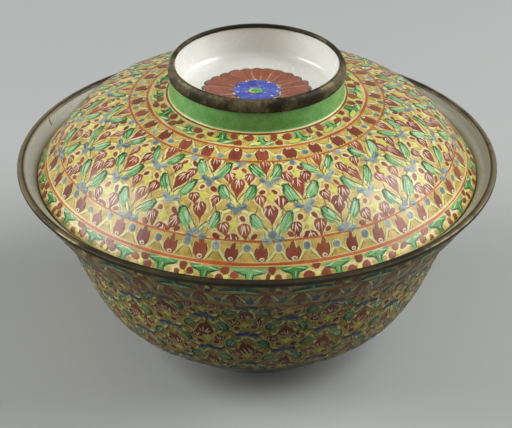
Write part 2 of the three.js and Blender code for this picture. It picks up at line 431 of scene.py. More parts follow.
def pick(obj, vertices=(), edges=()):
    """Selects some vertices or edges of a mesh and opens it for editing"""
    mesh = obj.data
    for item in (*mesh.vertices, *mesh.edges, *mesh.polygons):
        item.select = False
    for chosen in [mesh.vertices[i] for i in vertices] + [mesh.edges[i] for i in edges]:
        chosen.select = True
    bpy.ops.object.mode_set(mode="EDIT")


def leave():
    bpy.ops.object.mode_set(mode="OBJECT")


def coordinates(mesh):
    flat = np.empty(len(mesh.vertices) * 3)
    mesh.vertices.foreach_get("co", flat)
    return flat.reshape(-1, 3)


def place(mesh, points):
    mesh.vertices.foreach_set("co", np.asarray(points, float).ravel())
    mesh.update()


def spun(name, outline, sides, closed=False):
    """Spins an outline round the pot's axis. The outline starts and ends on the axis, or is a closed loop"""
    bpy.ops.object.select_all(action="DESELECT")
    bpy.ops.mesh.primitive_circle_add(vertices=len(outline), radius=MM)
    obj = bpy.context.object
    obj.name = name
    points = np.zeros((len(outline), 3))
    points[:, 0], points[:, 2] = np.asarray(outline).T * MM
    place(obj.data, points)
    last = len(outline) - 1
    if not closed:
        bpy.context.tool_settings.mesh_select_mode = (False, True, False)
        pick(obj, edges=[e.index for e in obj.data.edges if set(e.vertices) == {0, last}])
        bpy.ops.mesh.delete(type="EDGE")
        leave()
    bpy.context.tool_settings.mesh_select_mode = (True, False, False)
    pick(obj, vertices=range(len(outline)))
    bpy.ops.mesh.spin(steps=sides, angle=FULL_TURN, center=(0, 0, 0), axis=(0, 0, 1))
    bpy.ops.mesh.select_all(action="SELECT")
    bpy.ops.mesh.remove_doubles(threshold=1e-6)
    bpy.ops.mesh.normals_make_consistent(inside=False)
    leave()
    return obj


def face_middles(mesh):
    flat = np.empty(len(mesh.polygons) * 3)
    mesh.polygons.foreach_get("center", flat)
    return flat.reshape(-1, 3)


def flattened(points):
    """Points round the axis as distance from it and height, in millimetres"""
    return np.stack([np.hypot(points[:, 0], points[:, 1]), points[:, 2]], 1) / MM


def share_out(mesh, label, values):
    """Gives each point of a mesh a value that its material reads"""
    mesh.attributes.new(label, "FLOAT", "POINT").data.foreach_set("value", np.asarray(values, np.float32))


def nearest(points, places):
    """For each point, the number of the place that lies nearest"""
    return np.concatenate([
        np.argmin(np.sum((part[:, None] - places[None]) ** 2, axis=2), axis=1)
        for part in np.array_split(points, max(1, len(points) // 4000))])


def round_map(obj, outline, sectors, closed=False):
    """Lays a spun piece out flat, a strip for each sector of the turn, and tells each face's stretch"""
    mesh = obj.data
    outline = np.asarray(outline, float)
    if closed:
        outline = np.concatenate([outline, outline[:1]])
    reach = along(outline)
    middles = (outline[1:] + outline[:-1]) / 2
    at = face_middles(mesh)
    stretch = nearest(flattened(at), middles)
    around = np.mod(np.arctan2(at[:, 1], at[:, 0]), FULL_TURN)
    sector = np.minimum((around / FULL_TURN * sectors).astype(int), sectors - 1)
    corners, sizes = np.empty(len(mesh.loops), np.int32), np.empty(len(mesh.polygons), np.int32)
    mesh.loops.foreach_get("vertex_index", corners)
    mesh.polygons.foreach_get("loop_total", sizes)
    face = np.repeat(np.arange(len(sizes)), sizes)
    points = coordinates(mesh)[corners] / MM
    radius = np.hypot(points[:, 0], points[:, 1])
    swing = np.mod(np.arctan2(points[:, 1], points[:, 0]) - around[face] + math.pi, FULL_TURN) - math.pi
    swing[radius < 0.01] = 0
    part = stretch[face]
    ends = [np.hypot(radius - outline[part + i, 0], points[:, 2] - outline[part + i, 1]) for i in (0, 1)]
    across = (around[face] + swing) / FULL_TURN * sectors - sector[face]
    up = reach[part + (ends[1] < ends[0])] / reach[-1]
    rows = np.stack([0.01 + 0.98 * across, (sector[face] + 0.01 + 0.98 * up) / sectors], 1)
    mesh.uv_layers.new(name="OFBake").data.foreach_set("uv", rows.ravel())
    return stretch


def finished(obj, body, slot, *nodes):
    """Smooths a piece, hangs it on its body and hides the parts that it stands for"""
    lone(obj)
    bpy.ops.object.shade_smooth_by_angle(angle=math.radians(38))
    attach(obj, body)
    if nodes:
        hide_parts(*nodes)
    return obj


# Materials

class Value:
    """What a node puts out. Adding, subtracting or multiplying values makes Math nodes"""

    def __init__(self, socket):
        self.socket = socket
        self.tree = socket.id_data

    def maths(self, operation, other=0.0):
        return source(self.tree, "ShaderNodeMath", 0, operation=operation, _0=self, _1=other)

    def __add__(self, other):
        return self.maths("ADD", other)

    def __sub__(self, other):
        return self.maths("SUBTRACT", other)

    def __rsub__(self, other):
        return source(self.tree, "ShaderNodeMath", 0, operation="SUBTRACT", _0=other, _1=self)

    def __mul__(self, other):
        return self.maths("MULTIPLY", other)

    def __abs__(self):
        return self.maths("ABSOLUTE")

    def step(self, low, high, start=0.0, end=1.0):
        """Goes softly from start to end while the value goes from low to high"""
        return source(self.tree, "ShaderNodeMapRange", 0, interpolation_type="SMOOTHSTEP",
                      Value=self, _1=low, _2=high, _3=start, _4=end)


def feed(socket, value):
    """Links a value to a socket, or sets the socket to a number or colour"""
    if isinstance(value, Value):
        value.tree.links.new(value.socket, socket)
    else:
        socket.default_value = (*value, 1) if socket.type == "RGBA" else value


def node(tree, kind, **values):
    """Adds a node and fills its settings and its sockets, by name or by _number"""
    made = tree.nodes.new(kind)
    for key, value in values.items():
        if hasattr(made, key) and key not in made.inputs:
            setattr(made, key, value)
        else:
            feed(made.inputs[int(key[1:]) if key[0] == "_" else key.replace("_", " ")], value)
    return made


def source(tree, kind, output, **values):
    """One output of a new node"""
    return Value(node(tree, kind, **values).outputs[output])


def place_on_object(tree):
    return source(tree, "ShaderNodeTexCoord", "Object")


def axis(vector, letter):
    return source(vector.tree, "ShaderNodeSeparateXYZ", letter, Vector=vector)


def blend(share, a, b):
    """Mixes two colours"""
    return source(share.tree, "ShaderNodeMix", 2, data_type="RGBA", _0=share, _6=a, _7=b)


def noise(tree, scale, detail=3.0, roughness=0.55, where=None):
    return source(tree, "ShaderNodeTexNoise", "Fac", Vector=where or place_on_object(tree),
                  Scale=scale, Detail=detail, Roughness=roughness)


def attribute(tree, name):
    return source(tree, "ShaderNodeAttribute", "Fac", attribute_name=name)


def group(name, colours, amounts, put_out):
    """An empty node group with named sockets, what it is given and what it puts out"""
    tree = bpy.data.node_groups.new(name, "ShaderNodeTree")
    for way, kind, labels in (("INPUT", "Color", colours), ("INPUT", "Float", amounts),
                              ("OUTPUT", "Color", ["Color"]), ("OUTPUT", "Float", put_out)):
        for label in labels:
            tree.interface.new_socket(name=label, in_out=way, socket_type="NodeSocket" + kind)
    given = {socket.name: Value(socket) for socket in tree.nodes.new("NodeGroupInput").outputs}
    return tree, given, tree.nodes.new("NodeGroupOutput").inputs


def fired_enamel(label):
    """Enamel as the brush left it: thin and thick places, a tone for each mark and rubbed spots"""
    tree, given, out = group(label, ["Full", "Thin", "Under"], ["Rubbed", "Clouds"], ["Roughness", "Height"])
    tone, reach = attribute(tree, "tone"), attribute(tree, "reach")
    fine, broad = noise(tree, 1300, 4, 0.6), noise(tree, 240, 2)
    thin = tone * 0.42 + fine * 0.75 + broad * given["Clouds"] - reach * 0.16
    body = blend(thin.step(0.5, 1.15), given["Full"], given["Thin"])
    rub = noise(tree, 520, 5, 0.7).step(0.66, 0.74) * given["Rubbed"]
    feed(out["Color"], blend(rub, body, given["Under"]))
    feed(out["Roughness"], fine.step(0.25, 0.8, 0.24, 0.42))
    feed(out["Height"], fine + reach * 0.3)
    return tree


def glaze_age(label):
    """What years do to a white glaze: warm clouds and pinholes. Also painted shade in a ring round the cover's
    seat
    """
    tree, given, out = group(label, ["Clean", "Warm", "Dirt"], ["Seat", "Grime"], ["Roughness", "Height"])
    where = place_on_object(tree)
    clouds = noise(tree, 38, 4, 0.6).step(0.38, 0.72)
    pits = source(tree, "ShaderNodeTexVoronoi", "Distance", Vector=where, Scale=170)
    speck = pits.step(0.1, 0.05) * noise(tree, 90, 2).step(0.6, 0.66)
    body = blend(speck * 0.75, blend(clouds, given["Clean"], given["Warm"]), given["Dirt"])
    # Painted shade: a band round the height of the cover's edge is darkened towards the dirt-and-shade colour,
    # where the cover shades the wall
    apart = abs(axis(where, "Z") - given["Seat"]) + clouds * 0.0012
    seat_shade = apart.step(0.0052, 0.0012) * given["Grime"]
    level = source(tree, "ShaderNodeMapping", 0, Vector=where, Scale=(0.1, 0.1, 1.0))
    turning_lines = noise(tree, 420, 2, 0.5, where=level)
    feed(out["Color"], blend(seat_shade, body, given["Dirt"]))
    feed(out["Roughness"], noise(tree, 300, 3).step(0.3, 0.75, 0.14, 0.3))
    feed(out["Height"], noise(tree, 110, 2, 0.5) + turning_lines * 0.35 - speck * 0.6)
    return tree


def tarnish(label):
    """Dark-skinned metal rubbed bright, with painted shade in its groove and low edge and a painted highlight
    on its fold
    """
    tree, given, out = group(label, ["Skin", "Thin skin", "Bright", "Pale", "Dirt"],
                             ["Rubbed", "Top wear", "Pale fold", "Dirt height"],
                             ["Roughness", "Metallic", "Height"])
    patches, grains = noise(tree, 46, 5, 0.65), noise(tree, 700, 4, 0.6)
    fold, where = attribute(tree, "fold"), place_on_object(tree)
    # Painted light: low at the front and back, full toward the lamps at the left and right
    lit_sides = abs(axis(where, "X")).step(0.05, 0.1, 0.1, 1.0)
    # Less at the back, where the fold shows no highlight
    front = axis(where, "Y").step(0.0, 0.05, 1.0, 0.15)
    # Partly wear, partly painted light: faces that look up are rubbed brighter toward the lit sides
    top = axis(source(tree, "ShaderNodeNewGeometry", "Normal"), "Z").step(0.25, 0.85) * lit_sides
    level = patches + top * given["Top wear"] + (given["Rubbed"] - 0.5) * 0.5
    worn = (level + grains * 0.14).step(0.54, 0.78)
    metal = blend(worn, blend(patches.step(0.35, 0.7), given["Skin"], given["Thin skin"]), given["Bright"])
    # Painted shade: a dark line along the groove of the bowl's strip, set by the painted fold light
    groove = abs(fold - 0.77).step(0.13, 0.08) * given["Pale fold"]
    # Painted shade: darker towards the low edge of each strip's leg
    low_edge = (fold + (patches - 0.5) * 0.3).step(given["Dirt height"], given["Dirt height"] - 0.16)
    low_edge = low_edge * fold.step(0.02, 0.12, 0.5, 1.0)
    # Both painted shades take the dirt-and-shade colour and lose the metal's shine
    shaded = groove.maths("MAXIMUM", low_edge) * 0.85
    # Painted highlight: a pale line along the inner fold, only at the lit sides and not at the back
    fold_highlight = fold.step(0.9, 0.93) * (lit_sides * front) * given["Pale fold"]
    feed(out["Color"], blend(fold_highlight, blend(shaded, metal, given["Dirt"]), given["Pale"]))
    feed(out["Roughness"], (worn - shaded).step(-1, 1, 0.65, 0.38))
    feed(out["Metallic"], worn.step(0, 1, 0.35, 0.65) * (1.0 - shaded))
    feed(out["Height"], grains * 0.5 + patches)
    return tree


EFFECTS = {"Fired enamel": fired_enamel, "Glaze age": glaze_age, "Tarnish": tarnish}


def principled(name, label, given, bump=0.0, depth=0.1, gloss=None, **sockets):
    """A material with colour, roughness and bump from a shared effect. A given gloss is even all over"""
    if name in bpy.data.materials:
        return bpy.data.materials[name]
    material = bpy.data.materials.new(name)
    material.use_nodes = True
    tree = material.node_tree
    shader = tree.nodes["Principled BSDF"].inputs
    effect = node(tree, "ShaderNodeGroup", node_tree=bpy.data.node_groups.get(label) or EFFECTS[label](label))
    for key, value in given.items():
        feed(effect.inputs[key], value)
    made = {socket.name: Value(socket) for socket in effect.outputs}
    feed(shader["Base Color"], made["Color"])
    feed(shader["Roughness"], made["Roughness"] if gloss is None else gloss)
    if "Metallic" in made:
        feed(shader["Metallic"], made["Metallic"])
    if bump:
        feed(shader["Normal"], source(tree, "ShaderNodeBump", "Normal",
                                      Strength=bump, Distance=depth * MM, Height=made["Height"]))
    for key, value in sockets.items():
        feed(shader[key.replace("_", " ")], value)
    return material


def enamel(name, full, thin, under="cream", rubbed=0.3, bump=0.0, gloss=None, worn=False, clouds=0.5):
    """One fired enamel colour. A worn one has lost its shine"""
    paints = settings("paints")
    given = {"Full": getattr(paints, full), "Thin": getattr(paints, thin), "Under": getattr(paints, under),
             "Rubbed": rubbed, "Clouds": clouds}
    return principled(name, "Fired enamel", given, bump, 0.05, gloss,
                      Specular_IOR_Level=0.12 if worn else 0.3,
                      Coat_Weight=0.0 if worn else 0.5, Coat_Roughness=0.34)


def ground(worn=False):
    """The ochre behind the pattern"""
    name, full = ("worn_ground", "bowl_ground") if worn else ("ochre_ground", "ground")
    return enamel(name, full, full + "_light", rubbed=0.5, bump=0.3, worn=worn, clouds=1.0)


def white_glaze(name="white_glaze", darkening=0.0):
    """White glaze, and the same darkened: partly yellowed by age and use, partly painted shade from the cover
    over the bowl's inside
    """
    # Partly painted shade: the darkening dims the glaze, partly as stains of age and use and partly as the
    # shade the cover casts inside the bowl. It also sets the painted shade round the seat
    clean = tuple(c * (1 - darkening * k) for c, k in zip(settings("paints").glaze, (0.38, 0.4, 0.5)))
    warm = tuple(c * k for c, k in zip(clean, (0.96, 0.945, 0.9)))
    # The dirt-and-shade colour fills the pinholes as dirt and colours the painted shade round the seat
    given = {"Clean": clean, "Warm": warm, "Dirt": paint(84, 74, 50),
             "Seat": settings("pot").cover_base - 0.5 * MM, "Grime": darkening * 0.7}
    return principled(name, "Glaze age", given, 0.25, 0.12,
                      Coat_Weight=0.3 - 0.18 * darkening, Coat_Roughness=0.12 + 0.08 * darkening)


def bare_clay():
    given = {"Clean": settings("paints").bare_clay, "Warm": paint(168, 142, 104), "Dirt": paint(96, 74, 50),
             "Grime": 0.0}
    return principled("bare_clay", "Glaze age", given, 0.5, 0.1)


def tarnished_brass(name, rubbed, top_wear_and_light, fold_light_and_shade, shade_height):
    """A copper alloy strip. The painted fold light sets a highlight along its inner fold and shade in its
    groove
    """
    metals = settings("metals")
    given = {"Skin": metals.patina, "Thin skin": metals.skin, "Bright": metals.brass, "Pale": metals.pale,
             "Dirt": metals.strip_shade, "Rubbed": rubbed, "Top wear": top_wear_and_light, "Pale fold": fold_light_and_shade,
             "Dirt height": shade_height}
    return principled(name, "Tarnish", given, 0.25, 0.14, Specular_IOR_Level=0.25)


# Brush marks

class Mark:
    """One brush mark, modelled once: its points and its faces"""

    def __init__(self, obj):
        mesh = obj.data
        self.points = coordinates(mesh)
        self.faces = [tuple(p.vertices) for p in mesh.polygons]
        bpy.data.objects.remove(obj)
        bpy.data.meshes.remove(mesh)


class Dab(NamedTuple):
    """How a mark is laid at a place: sizes and shifts in millimetres, the turn in degrees"""
    colour: str
    mark: str
    wide: float
    tall: float
    x: float = 0.0
    y: float = 0.0
    turn: float = 0.0
    level: float = 1.0    # layers of paint below it
    full: float = 1.0     # paint in the brush
    halo: float = 0.0     # bare glaze left round it
    wobble: float = 0.05  # unsteadiness of its rim


MARKS = {}
LOPSIDED = {"leaf", "thread"}


def brush(name, rows, columns=2):
    """A stroke: a narrow grid whose rows are drawn in, moved and turned, with its middle raised"""
    bpy.ops.object.select_all(action="DESELECT")
    bpy.ops.mesh.primitive_grid_add(x_subdivisions=columns, y_subdivisions=len(rows) - 1, size=2)
    obj = bpy.context.object
    width = columns + 1
    for i, (x, y, half, *turn) in enumerate(rows):
        level = -1 + 2 * i / (len(rows) - 1)
        pick(obj, vertices=range(i * width, (i + 1) * width))
        bpy.ops.transform.resize(value=(half, 1, 1))
        bpy.ops.transform.translate(value=(x, y - level, 0))
        if turn:
            bpy.ops.transform.rotate(value=math.radians(turn[0]), orient_axis="Z", center_override=(x, y, 0))
        leave()
    if columns == 2:
        pick(obj, vertices=[i * width + 1 for i in range(1, len(rows) - 1)])
        bpy.ops.transform.translate(value=(0, 0, 1))
        leave()
    MARKS[name] = Mark(obj)


def blot(name, outline):
    """A dab: a disc whose rim is pulled to an outline, with its middle raised"""
    bpy.ops.object.select_all(action="DESELECT")
    bpy.ops.mesh.primitive_circle_add(vertices=len(outline), radius=1, fill_type="TRIFAN")
    obj = bpy.context.object
    rim = coordinates(obj.data)
    rim[1:, :2] = outline[::-1]
    place(obj.data, rim)
    pick(obj, vertices=[0])
    bpy.ops.transform.translate(value=(0, 0, 1))
    leave()
    if obj.data.polygons[0].normal.z < 0:
        obj.data.flip_normals()
    MARKS[name] = Mark(obj)


def round_rim(count, reach=lambda turn: 1.0):
    """Points of a rim, by how far it reaches at each angle"""
    turns = [FULL_TURN * i / count for i in range(count)]
    return [(reach(t) * math.cos(t), reach(t) * math.sin(t)) for t in turns]


def curl(start, end, widths):
    """Rows of a stroke that runs clockwise round an arc"""
    turns = [start + (end - start) * i / (len(widths) - 1) for i in range(len(widths))]
    return [(math.cos(math.radians(turn)), math.sin(math.radians(turn)), half, turn + 180)
            for turn, half in zip(turns, widths)]


def make_marks():
    """Models every kind of mark once"""
    blot("disc", round_rim(10))
    blot("star", round_rim(8, lambda t: 1.0 if round(t / (FULL_TURN / 8)) % 2 == 0 else 0.52))
    blot("lobe", [(0, 1), (-0.55, 0.86), (-0.95, 0.4), (-0.9, -0.2), (-0.5, -0.8), (0, -1),
                  (0.5, -0.8), (0.9, -0.2), (0.95, 0.4), (0.55, 0.86)])
    blot("flame", [(0.2, 1), (0.0, 0.84), (-0.18, 0.5), (-0.3, 0.2), (-0.62, 0.38), (-0.84, 0.24), (-1, -0.2),
                   (-0.88, -0.6), (-0.5, -0.9), (0, -1), (0.5, -0.9), (0.9, -0.58), (1, -0.15),
                   (0.88, 0.3), (0.7, 0.26), (0.46, 0.18), (0.38, 0.5), (0.32, 0.84)])
    blot("shield", [(0, 1), (-0.16, 0.66), (-0.42, 0.62), (-0.62, 0.9), (-0.84, 0.5), (-1, -0.1),
                    (-0.82, -0.66), (-0.4, -0.95), (0, -1), (0.4, -0.95), (0.82, -0.66), (1, -0.1),
                    (0.84, 0.5), (0.62, 0.9), (0.42, 0.62), (0.16, 0.66)])
    blot("leaf", [(0.3, 1), (-0.1, 0.95), (-0.52, 0.7), (-0.86, 0.34), (-1, -0.04), (-0.94, -0.42),
                  (-0.66, -0.7), (-0.5, -0.5), (-0.24, -0.92), (0, -0.62), (0.34, -1), (0.42, -0.56),
                  (0.84, -0.66), (0.86, -0.1), (0.8, 0.36), (0.62, 0.76)])
    blot("funnel", [(-1, 0.92), (-1, 0.5), (-0.76, 0.22), (-0.42, -0.02), (-0.3, -0.45), (-0.46, -0.98),
                    (0.4, -1), (0.3, -0.45), (0.42, 0.02), (0.76, 0.24), (1, 0.52), (1, 0.9), (0.5, 0.97),
                    (0, 0.84), (-0.5, 0.98)])
    brush("bud", [(0, -1, 0.06), (0.02, -0.66, 0.22), (0, -0.3, 0.62), (0, 0.1, 0.94), (0, 0.5, 1),
                  (0, 0.85, 0.74), (0, 1, 0.36)])
    brush("petal", [(0, -1, 0.36), (0, -0.5, 0.54), (0, 0, 0.7), (0, 0.5, 0.86), (0, 0.74, 0.9),
                    (0, 0.9, 0.68), (0, 1, 0.2)])
    brush("wave", [(-0.04, -1, 0.1), (0.22, -0.6, 0.7), (0.12, -0.2, 1), (-0.14, 0.2, 0.9),
                   (-0.2, 0.6, 0.8), (0.06, 1, 0.12)])
    brush("hook", curl(200, 20, [0.05, 0.16, 0.26, 0.3, 0.26, 0.16, 0.06]))
    brush("thread", curl(190, 40, [0.02, 0.07, 0.1, 0.11, 0.1, 0.07, 0.02]))
    brush("stroke", [(0, -1, 0.25), (0, -0.3, 0.8), (0, 0.45, 1), (0, 1, 0.4)], columns=1)
    brush("stem", [(0, -1, 0.7), (0, 0, 0.9), (0, 1, 1)], columns=1)
    brush("fleck", [(0, -1, 0.5), (0.1, 0, 1), (-0.1, 1, 0.4)], columns=1)


class Skin:
    """A painted surface of the pot, by the angle round it and the millimetres along its outline"""

    def __init__(self, path, outward):
        self.path = np.asarray(path, float)
        self.reach = along(self.path)
        run = np.gradient(self.path, axis=0)
        run /= np.hypot(*run.T)[:, None]
        self.normal = np.stack([run[:, 1], -run[:, 0]], 1) * outward
        self.outward = outward

    def radius(self, s):
        return np.interp(s, self.reach, self.path[:, 0])

    def place(self, angle, s, lift):
        """Points in metres at some angles and distances, raised off the surface by lift millimetres"""
        r, z = (np.interp(s, self.reach, self.path[:, i]) for i in (0, 1))
        nr, nz = (np.interp(s, self.reach, self.normal[:, i]) for i in (0, 1))
        r = r + nr * lift
        return np.stack([r * np.cos(angle), r * np.sin(angle), z + nz * lift], -1) * MM


class Easel:
    """Lays brush marks on a skin, and makes one piece of each colour"""
    SECTORS = 3      # strips of the flat map
    SHORTEST = 0.12  # what has to remain of a mark that is cut off

    def __init__(self, skin, seed, flat=False):
        self.skin = skin
        self.flat = flat
        self.random = np.random.default_rng(settings("painting").seed + seed)
        self.unevenness = settings("painting").unevenness
        self.thickness = mm("painting", "thickness")
        self.colours = {}
        self.low, self.high = 0.0, skin.reach[-1]
        self.outline = 0.0

    def between(self, low, high):
        """Marks are cut off at these distances from now on"""
        self.low, self.high = low, high

    def spots(self, angles, s, turn=0.0, wide=1.0, tall=1.0):
        """Places for marks: angle, distance, turn and two scales for each"""
        angles = np.atleast_1d(np.asarray(angles, float))
        others = (np.broadcast_to(np.asarray(v, float), len(angles)) for v in (s, turn, wide, tall))
        return np.stack([angles, *others], 1)

    def around(self, count, s, shift=0.0, **more):
        """Places at even angles all round, starting at the front"""
        return self.spots(FRONT + (np.arange(count) + shift) * FULL_TURN / count, s, **more)

    def shaken(self, spots, slide=0.4, turn=8.0, grow=0.1):
        """The same places as an unsteady hand would keep them"""
        hand = self.random.normal(size=(len(spots), 5)).clip(-2, 2) * self.unevenness
        spots = spots.copy()
        spots[:, 0] += hand[:, 0] * slide / np.maximum(self.skin.radius(spots[:, 1]), 4)
        spots[:, 1] += hand[:, 1] * slide
        spots[:, 2] += hand[:, 2] * math.radians(turn)
        spots[:, 3:] *= 1 + hand[:, 3:] * grow
        return spots

    def layer(self, level):
        """How high a layer of paint starts, in millimetres"""
        return 0.03 + (0.02 + self.thickness * 0.5) * level

    def lay(self, spots, *dabs, sides=(1,)):
        """Lays marks at some places, on one side of each place or mirrored on both"""
        for side in sides:
            for dab in dabs:
                if dab.halo and self.outline:
                    self.rim(spots, dab, dab.halo + self.outline, side, colour="dark", level=-0.6, full=0.1)
                if dab.halo:
                    self.rim(spots, dab, dab.halo, side, colour="cream", level=0, full=0.35)
                self.mark(spots, dab, side)

    def rim(self, spots, dab, width, side, **changes):
        """Lays the same marks wider all round"""
        wider = dab._replace(wide=dab.wide + 2 * width, tall=dab.tall + 2 * width, **changes)
        self.mark(spots, wider, side, mirrored=wider.colour == "dark")

    def scatter(self, spots, dabs, side=1, **hand):
        """Lays marks, each with its own unsteadiness"""
        for dab in dabs:
            self.lay(self.shaken(spots, **hand), dab, sides=(side,))

    def mark(self, spots, dab, side, mirrored=True):
        shape = MARKS[dab.mark]
        count, points = len(spots), shape.points
        wide = dab.wide * side if mirrored and dab.mark in LOPSIDED else dab.wide
        x, y = points[:, 0] * wide / 2, points[:, 1] * dab.tall / 2
        own = math.radians(dab.turn * side)
        x, y = (x * math.cos(own) - y * math.sin(own) + dab.x * side,
                x * math.sin(own) + y * math.cos(own) + dab.y)
        hand = self.random.normal(size=(2, count, len(points))).clip(-2, 2) * self.unevenness
        size = min(dab.wide, dab.tall)
        x = x * spots[:, 3:4] + hand[0] * dab.wobble * size * 0.5
        y = y * spots[:, 4:5] + hand[1] * dab.wobble * size * 0.5
        swing = spots[:, 2:3]
        x, y = x * np.cos(swing) - y * np.sin(swing), x * np.sin(swing) + y * np.cos(swing)
        s = spots[:, 1:2] + y
        held = s.clip(self.low, self.high)
        angle = spots[:, 0:1] + x / self.skin.radius(held)
        if self.flat:
            angle, held = spots[:, 0:1] + np.arctan2(x, s), np.hypot(x, s)
        lift = self.layer(dab.level) + self.thickness * dab.full * points[:, 2]
        tone = self.random.random((count, 1)) + 0 * s
        kept = (s > self.low).any(1) & (s < self.high).any(1) & (np.ptp(held, axis=1) > self.SHORTEST)
        self.colours.setdefault(dab.colour, []).append((
            angle[kept], held[kept], np.broadcast_to(lift, s.shape)[kept], tone[kept],
            np.broadcast_to(points[:, 2], s.shape)[kept], spots[kept, 0], shape.faces,
            (wide < 0) != (self.skin.outward < 0)))

    def line(self, colour, low, high, wander=0.1, level=1, fresh=0.0):
        """A line painted all round between two distances, thicker in front by the fresh brush"""
        bpy.ops.object.select_all(action="DESELECT")
        bpy.ops.mesh.primitive_grid_add(x_subdivisions=settings("pot").sides, y_subdivisions=2, size=2)
        flat = Mark(bpy.context.object)
        around = (flat.points[:, 0] + 1) / 2
        sizes = self.random.normal(size=(2, 7)) * self.unevenness * wander / 2.2
        phases = self.random.random((2, 7)) * FULL_TURN
        below, above = (sum(size * np.sin(FULL_TURN * around * k * 3 + phase)
                            for k, (size, phase) in enumerate(zip(sizes[i], phases[i]), 1)) for i in (0, 1))
        above = above + fresh * ease(-np.sin(FULL_TURN * around), 0.2, 1.0)
        s = np.where(flat.points[:, 1] < 0, low + below, high + above)
        in_middle = abs(flat.points[:, 1]) < 0.5
        s = np.where(in_middle, (low + high + below + above) / 2, s)
        middle = in_middle * 1.0
        lift = self.layer(level) + self.thickness * 0.6 * middle
        tone = 0.5 + 0.4 * np.sin(around * FULL_TURN * 9)
        self.colours.setdefault(colour, []).append((
            around[None] * FULL_TURN, s[None], lift[None], tone[None], middle[None],
            np.zeros(1), flat.faces, self.skin.outward < 0))

    def flat_map(self, angle, s, middle, is_line):
        """The paint laid out flat, in strips of a share of the turn, or as it is seen from above"""
        whole = self.skin.reach[-1]
        if self.flat:
            return [0.5 + 0.48 * s / whole * way(angle) for way in (np.cos, np.sin)]
        sector = np.floor(np.mod(middle, FULL_TURN) / FULL_TURN * self.SECTORS)[:, None]
        if is_line:
            sector = np.floor(np.mod(angle, FULL_TURN - 1e-9) / FULL_TURN * self.SECTORS)
        turned = angle - np.floor(middle / FULL_TURN)[:, None] * FULL_TURN
        across = turned / FULL_TURN * self.SECTORS - sector
        return [0.03 + 0.94 * across, (sector + 0.02 + 0.96 * s / whole) / self.SECTORS]

    def piece(self, name, colour, material, body, slot):
        """Joins all marks of one colour into a piece"""
        points, faces, tones, reaches, maps, base = [], [], [], [], [], 0
        for angle, s, lift, tone, reach, middle, shape, flip in self.colours.pop(colour):
            count, size = angle.shape
            points.append(self.skin.place(angle, s, lift).reshape(-1, 3))
            tones.append(tone.ravel())
            reaches.append(reach.ravel())
            flat = self.flat_map(angle, s, middle, is_line=count == 1 and size > 300)
            maps.append(np.stack(flat, -1).reshape(-1, 2))
            for i in range(count):
                offset = base + i * size
                faces += [tuple(offset + v for v in (f[::-1] if flip else f)) for f in shape]
            base += count * size
        mesh = bpy.data.meshes.new(name)
        mesh.from_pydata(np.concatenate(points).tolist(), [], faces)
        for label, values in (("tone", tones), ("reach", reaches)):
            share_out(mesh, label, np.concatenate(values))
        corners = np.empty(len(mesh.loops), np.int32)
        mesh.loops.foreach_get("vertex_index", corners)
        mesh.uv_layers.new(name="OFBake").data.foreach_set("uv", np.concatenate(maps)[corners].ravel())
        obj = bpy.data.objects.new(name, mesh)
        bpy.context.collection.objects.link(obj)
        mesh.materials.append(material)
        lone(obj)
        bpy.ops.object.mode_set(mode="EDIT")
        bpy.ops.mesh.select_all(action="SELECT")
        bpy.ops.mesh.dissolve_degenerate(threshold=2e-6)
        leave()
        return finished(obj, body, slot)


# The patterns. Distances run away from the bowl's lip on the bowl, and up from the cover's edge on the cover.
# A border is drawn at the size of its first place and stretched to the room that it has

BOTH = (-1, 1)
SCROLL_SIZE = (18.5, 6.3)
FLAME_SIZE = (12.9, 8.3)
FIELD_SIZE = (28.6, 12.5)

FUNNEL = Dab("green", "funnel", 12.6, 6.0, full=0.6, halo=0.35)
FUNNEL_FOOT = Dab("ochre", "lobe", 2.8, 2.4, 2.8, -1.7, 16, level=2, full=0.4, halo=0.5)
FUNNEL_SIDES = (
    Dab("dark", "stroke", 0.5, 4.4, 3.3, 0.75, -68, level=4, full=0.3),
    Dab("dark", "stroke", 0.4, 3.2, 1.2, -1.0, -10, level=4, full=0.3),
    Dab("pale", "stroke", 0.75, 4.6, 3.2, 2.0, 78, level=3, full=0.4),
)
FUNNEL_STEM = Dab("pale", "stroke", 0.45, 2.6, 0.3, -0.4, -14, level=3, full=0.4)
BOWL_SCROLL = (
    Dab("green", "lobe", 11.5, 4.2, 0, 0.6, level=2, full=0.4),
    Dab("pale", "lobe", 8.6, 1.5, 0.4, 1.2, level=4, full=0.3),
)
TOP_LEAVES = (
    Dab("green", "hook", 5.4, 5.6, 2.4, -0.4, -30, level=2, full=0.5, halo=0.3),
    Dab("pale", "thread", 4.0, 4.2, 2.3, -0.6, -30, level=4, full=0.4),
    Dab("yellow", "wave", 1.9, 6.6, -3.4, 1.6, 76, level=5, full=0.5, halo=0.3),
    Dab("straw", "stroke", 1.0, 4.0, 3.6, 1.9, 70, level=5, full=0.5),
)
FLOWER_GROUND = [Dab("ochre", "fleck", 2.6, 2.6, x, y, 70, level=0, full=0.3)
                 for x, y in ((-3.4, 1.7), (3.3, 1.8), (0.2, -2.9))]
FLOWER_DOTS = [Dab("red", "lobe", 3.9, 3.5, x, y, -28 * x, level=4, halo=0.6)
               for x, y in ((-2.9, -1.2), (2.9, -1.2), (-0.1, 1.8))]
FLOWER_EYE = (
    Dab("yellow", "disc", 2.7, 2.5, 0, -1.3, level=5, halo=0.5),
    Dab("dark", "thread", 1.9, 1.8, 0.3, -1.3, -130, level=7, full=0.3),
)


